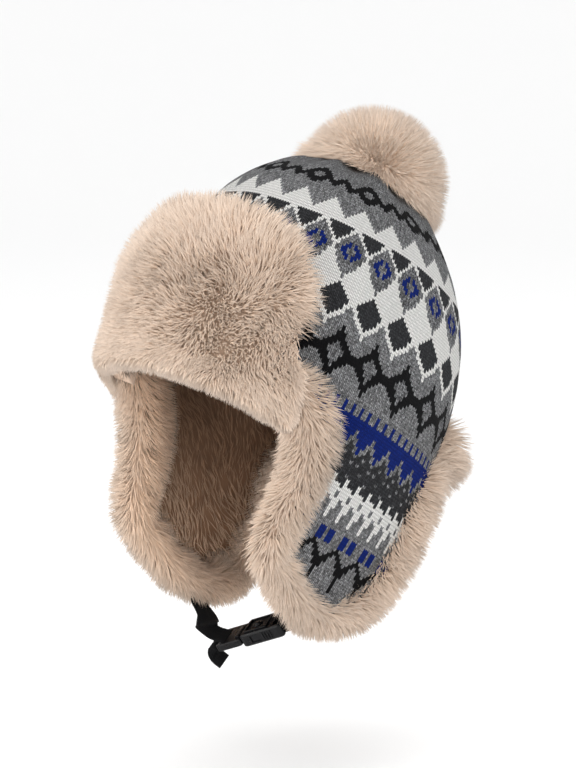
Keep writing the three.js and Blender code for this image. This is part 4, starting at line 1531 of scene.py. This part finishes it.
@dataclass
class ChinStrap:
    """The webbing straps along the routes of their solids, and the buckle's finish."""

    form: HatForm
    width: float = 14.0
    thickness: float = 1.5
    drop: float = 24.0
    clear: float = 3.5
    tuck_in: float = 9.0
    slack: float = 0.04
    buckle_back: float = 1.0
    buckle_side: float = -1.0
    buckle_length: float = 50.0
    buckle_width: float = 20.0
    socket_length: float = 31.0
    socket_thickness: float = 8.4
    frame_thickness: float = 4.6
    bar_width: float = 3.0
    slot_width: float = 3.6
    fit_gap: float = 0.35
    tail_length: float = 12.0
    twist_share: float = 0.2
    flap_turn: float = 102.0
    corner: float = 1.3
    run_in: float = 5.0
    run_out: float = 2.0
    tail_starts: float = 0.9
    groove: float = 0.72
    selvedge: float = 0.3
    steps: int = 150
    ribs: int = 5
    climb: float = math.radians(20.7)
    turn: float = math.radians(19)
    roll: float = math.radians(28)
    origin: Array = field(init=False)
    along: Array = field(init=False)
    across: Array = field(init=False)
    up: Array = field(init=False)

    def __post_init__(self) -> None:
        """Work out where the buckle lies and how it is turned."""
        flat = math.cos(self.climb)
        self.along = np.array([flat * math.cos(self.turn), flat * math.sin(self.turn),
                               math.sin(self.climb)])
        self.up = unit(np.cross(self.along, [0, math.cos(self.roll), math.sin(self.roll)]))
        self.across = np.cross(self.up, self.along)
        tip = self.flap_end(1)
        self.origin = np.array([self.buckle_side, tip[1] + self.buckle_back, tip[2] - self.drop])

    @property
    def wrap(self) -> float:
        """How far the webbing's middle stands off the middle of a bar."""
        return self.bar_width / 2 + self.fit_gap + self.thickness / 2

    def flap_end(self, side: int) -> Array:
        """Find where a strap leaves its flap."""
        turn, bottom = np.array(side * self.flap_turn), np.array(2.0)
        return self.form.as_worn(self.form.offset(turn, bottom, np.array(self.form.lining_inner / 2)))

    def on_buckle(self, x: float, z: float, y: float = 0.0) -> Array:
        """Find a point of the buckle's own axes."""
        return self.origin + self.along * x + self.across * y + self.up * z

    def route(self, side: int, lead: float, end: list[Array]) -> Array:
        """List the points that a strap runs through.

        Args:
            side: 1 for the strap at the socket half, -1 for the one at the prong half.
            lead: How high the webbing comes in over the bar.
            end: The points after the bar.

        Returns:
            The points, in millimetres, without the seat's shift.
        """
        form, wrap = self.form, self.wrap
        start = self.flap_end(side) + form.as_worn(np.array([0.0, 0.0, -self.clear]))
        tuck = start + np.array([-side * self.clear, 0, -self.tuck_in])
        bar = self.on_buckle(side * self.buckle_length / 2, wrap * 2)
        lower = (tuck + bar) / 2 - np.array([0, 0, self.drop * self.slack])
        tip = self.buckle_length / 2
        slot = tip - self.bar_width - self.slot_width / 2
        corner = self.corner
        path = [(tip + self.run_in, wrap + lead), (tip + self.thickness, wrap + 0.4 * lead),
                (slot + corner, wrap), (slot, wrap - corner), (slot, 0), (slot, corner - wrap),
                (slot + corner, -wrap), (tip + self.run_out, -wrap)]
        return np.array([start, tuck, lower, *(self.on_buckle(side * x, z) for x, z in path), *end])

    def strap(self, name: str, route: Array, doubled: float, material: bpy.types.Material,
              node: str) -> bpy.types.Object:
        """Build a strap with rounded edges and lengthwise ribs.

        Args:
            name: The piece's name.
            route: The points that it runs through.
            doubled: The share of its run after which it is folded double.
            material: The webbing's finish.
            node: The CAD node that it stands for.

        Returns:
            The piece.
        """
        shares = np.linspace(0, 1, self.steps + 1)
        line = catmull_rom(route, shares)
        along = unit(np.gradient(line, axis=0))
        turned = np.clip(shares / self.twist_share, 0, 1)[:, None]
        lengthwise = self.form.as_worn(np.array([0.0, 1.0, 0.0]))
        across = lengthwise + (self.across - lengthwise) * turned
        across = unit(across - along * np.sum(across * along, axis=1, keepdims=True))
        up = np.cross(along, across)
        run = run_lengths(line)
        log.info("%s runs for %.0f mm", name, run[-1])
        count = 2 * self.ribs
        side = np.linspace(1, -1, count + 1)
        height = np.where(np.arange(count + 1) % 2 == 1, 1.0, self.groove)
        height[[0, -1]] = self.selvedge
        face = np.stack([side, height], axis=1)
        profile = np.concatenate([face, -face])
        thick = self.thickness / 2 * np.where(shares > doubled, 2.0, 1.0)
        n = len(profile)
        rings = (line[:, None] + across[:, None] * profile[None, :, :1] * self.width / 2
                 + up[:, None] * profile[None, :, 1:] * thick[:, None, None]
                 + self.form.seat) * MM
        i, j = np.meshgrid(np.arange(self.steps), np.arange(n), indexing="ij")
        i, j = i.ravel(), j.ravel()
        following = (j + 1) % n
        quads = np.stack([i * n + j, i * n + following, (i + 1) * n + following, (i + 1) * n + j],
                         axis=1)
        ends = np.concatenate([np.arange(n)[::-1], self.steps * n + np.arange(n)])
        place = np.stack([np.stack([(j + a) / n, run[i + b] / run[-1]], axis=1)
                          for a, b in ((0, 0), (1, 0), (1, 1), (0, 1))], axis=1).reshape(-1, 2)
        flat_ends = np.zeros((2 * n, 2))
        parts = MeshParts()
        parts.add(rings.reshape(-1, 3), np.concatenate([quads.ravel(), ends]),
                  np.concatenate([np.full(len(quads), 4), [n, n]]), np.concatenate([place, flat_ends]))
        piece = parts.build(name)
        lengths = place * [self.width * MM * 2, run[-1] * MM]
        add_stitch_map(piece, np.concatenate([lengths, flat_ends]))
        return finish_piece(piece, "webbing", material, node)

    def mouldings(self, material: bpy.types.Material) -> bpy.types.Object:
        """Build the buckle's raised rims, grip ribs and the round boss over its latch.

        Args:
            material: The buckle's finish.

        Returns:
            The piece, in one mesh.
        """
        top, frame_top = self.socket_thickness / 2, self.frame_thickness / 2
        mouth, edge = self.buckle_length / 2 - self.socket_length, self.buckle_width / 2
        rim, rim_height, rim_inset, rim_length = 1.5, 1.0, 3.4, 17.0
        rim_middle, near_rim, far_rim = 11.5, 3.6, 19.4
        bar, bar_height, bar_inset, bar_back = 3.0, 1.3, 6.0, 3.0
        grip, grip_out, grip_start, grip_step = 0.9, 0.6, 17.0, 1.9
        boss_middle, boss_taper = 11.0, 0.86
        blocks = [((mouth + rim_middle, side * (edge - rim_inset), top + 0.45),
                   (rim_length, rim, rim_height)) for side in (-1, 1)]
        blocks += [((mouth + x, 0.0, top + 0.45), (rim, 2 * edge - 2 * rim_inset, rim_height))
                   for x in (near_rim, far_rim)]
        blocks += [((mouth - bar_back, 0.0, frame_top + 0.6), (bar, 2 * edge - bar_inset, bar_height))]
        blocks += [((mouth + grip_start + grip_step * k, side * (edge + 0.25), 0.0),
                    (grip, grip_out, top * 1.3)) for side in (-1, 1) for k in range(4)]
        parts = MeshParts()
        for centre, size in blocks:
            bm = bmesh.new()
            bmesh.ops.create_cube(bm, size=1.0)
            bmesh.ops.scale(bm, vec=size, verts=bm.verts)
            bmesh.ops.bevel(bm, geom=bm.edges, affect="EDGES", offset=0.22, segments=2, profile=0.5,
                            material=-1)
            self.add_moulding(parts, bm, centre)
        for radius, height in ((3.6, 0.9), (2.2, 1.5)):
            bm = bmesh.new()
            bmesh.ops.create_cone(bm, cap_ends=True, segments=32, radius1=radius,
                                  radius2=radius * boss_taper, depth=height)
            self.add_moulding(parts, bm, (mouth + boss_middle, 0.0, top + height / 2 - 0.05))
        return finish_piece(parts.build("buckle_mouldings", smooth=False), "buckle_plastic", material)

    def add_moulding(self, parts: MeshParts, bm: bmesh.types.BMesh,
                     centre: tuple[float, float, float]) -> None:
        """Move a detail to its place on the buckle and add it.

        Args:
            parts: Where it is added.
            bm: The detail, round its own middle.
            centre: Its middle in the buckle's own axes.
        """
        for vert in bm.verts:
            x, y, z = (own + shift for own, shift in zip(vert.co, centre))
            vert.co = (self.on_buckle(x, z, y) + self.form.seat) * MM
        parts.add_bmesh(bm, (0.5, 0.5))

    def build(self, materials: dict[str, bpy.types.Material]) -> None:
        """Build the straps and dress the buckle.

        Args:
            materials: Finishes by slot.
        """
        tip, wrap, size = self.buckle_length / 2, self.wrap, self.tail_length
        tail = [self.on_buckle(-tip - out * size, -wrap - down * size)
                for out, down in ((0.3, -0.2), (0.65, -0.2), (0.85, 0.15), (0.8, 0.55), (0.6, 0.95))]
        back = [self.on_buckle(tip + 11, 0.2 - wrap)]
        webbing = materials["webbing"]
        self.strap("strap_right_web", self.route(-1, 9.0, tail), self.tail_starts, webbing,
                   "strap_right")
        self.strap("strap_left_web", self.route(1, 1.6, back), math.inf, webbing, "strap_left")
        self.mouldings(materials["buckle_plastic"])
        for node in ("buckle_socket", "buckle_prong"):
            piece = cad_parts[node]
            piece.data.materials.clear()
            piece.data.materials.append(materials["buckle_plastic"])
            log.info("%s dressed", node)


@dataclass
class Studio:
    """Camera, floor and soft lights."""

    camera_place: tuple[float, float, float] = (1.1439, -1.0142, 0.0951)
    target: tuple[float, float, float] = (0.00598, -0.0594, -0.1137)
    lens: float = 116.0
    floor_drop: float = 0.06
    light_size: float = 1.6
    world_power: float = 1.08
    floor_reach: float = 4.0
    floor_bend: float = 3.0
    bend_steps: int = 12
    lights: tuple = (
        ("key", (-0.5, -1.7, 0.2), 17, (1.0, 0.985, 0.965)),
        ("fill", (1.8, -0.6, 0.0), 15, (0.98, 0.99, 1.0)),
        ("top", (0.3, -0.2, 1.6), 12, (1.0, 1.0, 1.0)),
    )

    def build(self) -> None:
        """Set up the view, the floor and the lights."""
        data = bpy.data.cameras.new("view")
        data.sensor_fit = "VERTICAL"
        data.sensor_height = 36.0
        data.lens = self.lens
        data.clip_end = 100
        bpy.context.scene.camera = self.aimed("view", data, self.camera_place)
        self.floor()
        for name, place, power, colour in self.lights:
            data = bpy.data.lights.new(name, "AREA")
            data.size = self.light_size
            data.energy = power
            data.color = colour
            self.aimed(name, data, place)
        world = bpy.data.worlds.new("studio")
        world.use_nodes = True
        background = world.node_tree.nodes["Background"]
        background.inputs[0].default_value = (1, 1, 1, 1)
        background.inputs[1].default_value = self.world_power
        bpy.context.scene.world = world

    def aimed(self, name: str, data: bpy.types.ID,
              place: tuple[float, float, float]) -> bpy.types.Object:
        """Set up a camera or a light that looks at the hat.

        Args:
            name: Its name.
            data: The camera or the light.
            place: Where it stands.

        Returns:
            Its object.
        """
        made = new_object(name, data)
        made.location = place
        made.rotation_euler = (Vector(self.target) - Vector(place)).to_track_quat("-Z", "Y").to_euler()
        return made

    def floor(self) -> None:
        """Lay the pale floor below the hat."""
        low = CAD_BOX[0][2] - self.floor_drop
        bm = bmesh.new()
        line = [bm.verts.new((0, 0, low)), bm.verts.new((self.floor_reach, 0, low))]
        for k in range(1, self.bend_steps + 1):
            angle = math.pi / 2 * k / self.bend_steps
            line.append(bm.verts.new((self.floor_reach + self.floor_bend * math.sin(angle), 0,
                                      low + self.floor_bend * (1 - math.cos(angle)))))
        edges = [bm.edges.new(pair) for pair in zip(line, line[1:])]
        bmesh.ops.spin(bm, geom=line + edges, cent=(0, 0, 0), axis=(0, 0, 1), angle=2 * math.pi,
                       steps=48, use_merge=True)
        bmesh.ops.recalc_face_normals(bm, faces=bm.faces)
        for face in bm.faces:
            face.smooth = True
        mesh = bpy.data.meshes.new("floor")
        bm.to_mesh(mesh)
        bm.free()
        made, n, shader = new_material("floor")
        n.feed(shader, {"Base Color": (0.9, 0.9, 0.9, 1), "Roughness": 0.9})
        mesh.materials.append(made)
        new_object("floor", mesh)


# The beige fur's tint for the hat's inside is above one: painted light on the trims' inner hairs.
BEIGE_FUR = FurFinish("beige_fur", root=(0.55, 0.395, 0.295), middle=(0.70, 0.53, 0.405),
                      tip=(0.79, 0.65, 0.54), variation=0.35, sheen=0.1, painted_inside_tint=(1.18, 1.06, 0.95))
# The pompom's fur is the beige fur made brighter: painted light against the shade among its dense
# hairs.
POMPOM_LIGHTENED_FUR = FurFinish("pompom_fur", root=(0.95, 0.70, 0.52), middle=(0.97, 0.735, 0.56),
                       tip=(0.86, 0.71, 0.59), variation=0.3, sheen=0.1)
# The lining's tint for the hat's inside and its high shade are both painted shade.
LINING_FUR = FurFinish("lining_fur", root=(0.46, 0.32, 0.23), middle=(0.76, 0.555, 0.405),
                       tip=(0.86, 0.645, 0.49), variation=0.4, sheen=0.1, painted_high_shade=0.5,
                       painted_inside_tint=(0.58, 0.48, 0.40))


def main() -> None:
    """Build the studio, then the hat piece by piece."""
    logging.basicConfig(level=logging.INFO, format="%(message)s")
    Studio().build()
    shade, fleck = fur_shade_group(), fleck_group()
    materials = {
        "knit": KnitFinish().material(fleck),
        "webbing": WebbingFinish().material(fleck),
        "buckle_plastic": PlasticFinish().material(),
        "beige_fur": BEIGE_FUR.material(shade),
        "pompom_fur": POMPOM_LIGHTENED_FUR.material(shade),
        "lining_fur": LINING_FUR.material(shade),
    }
    form = HatForm()
    KnitShell(form).build(materials["knit"])
    fur = FurPieces(form)
    beige = materials["beige_fur"]
    thin = 1.0
    bpy.context.scene.view_settings.view_transform = "Standard"
    fur.brim(Pile(int(30000 * thin), 16.0, 0.75, seed=11), beige)
    for side, start, end, seed in (("left", fur.flap_start, fur.flap_end, 12),
                                   ("right", 2 - fur.flap_start, 2 - fur.flap_end, 13)):
        fur.edge(f"flap_trim_{side}_fur", start, end, fur.trim_thickness, fur.temple_cover,
                 Pile(int(23000 * thin), 14.0, 0.75, seed=seed), beige, f"flap_trim_{side}")
    fur.edge("nape_trim_fur", fur.flap_end, 2 - fur.flap_end, fur.nape_thickness, 0.0,
             Pile(int(13000 * thin), 19.0, 0.75, seed=14), beige, "nape_trim")
    fur.pompom(Pile(int(20000 * thin), 22.0, 0.7, scatter=0.1, droop=0.1, swirl=0.08, seed=15),
               materials["pompom_fur"])
    fur.lining(Pile(int(22000 * thin), 14.0, 0.65, seed=16), materials["lining_fur"])
    ChinStrap(form).build(materials)


if __name__ == "__main__":
    main()
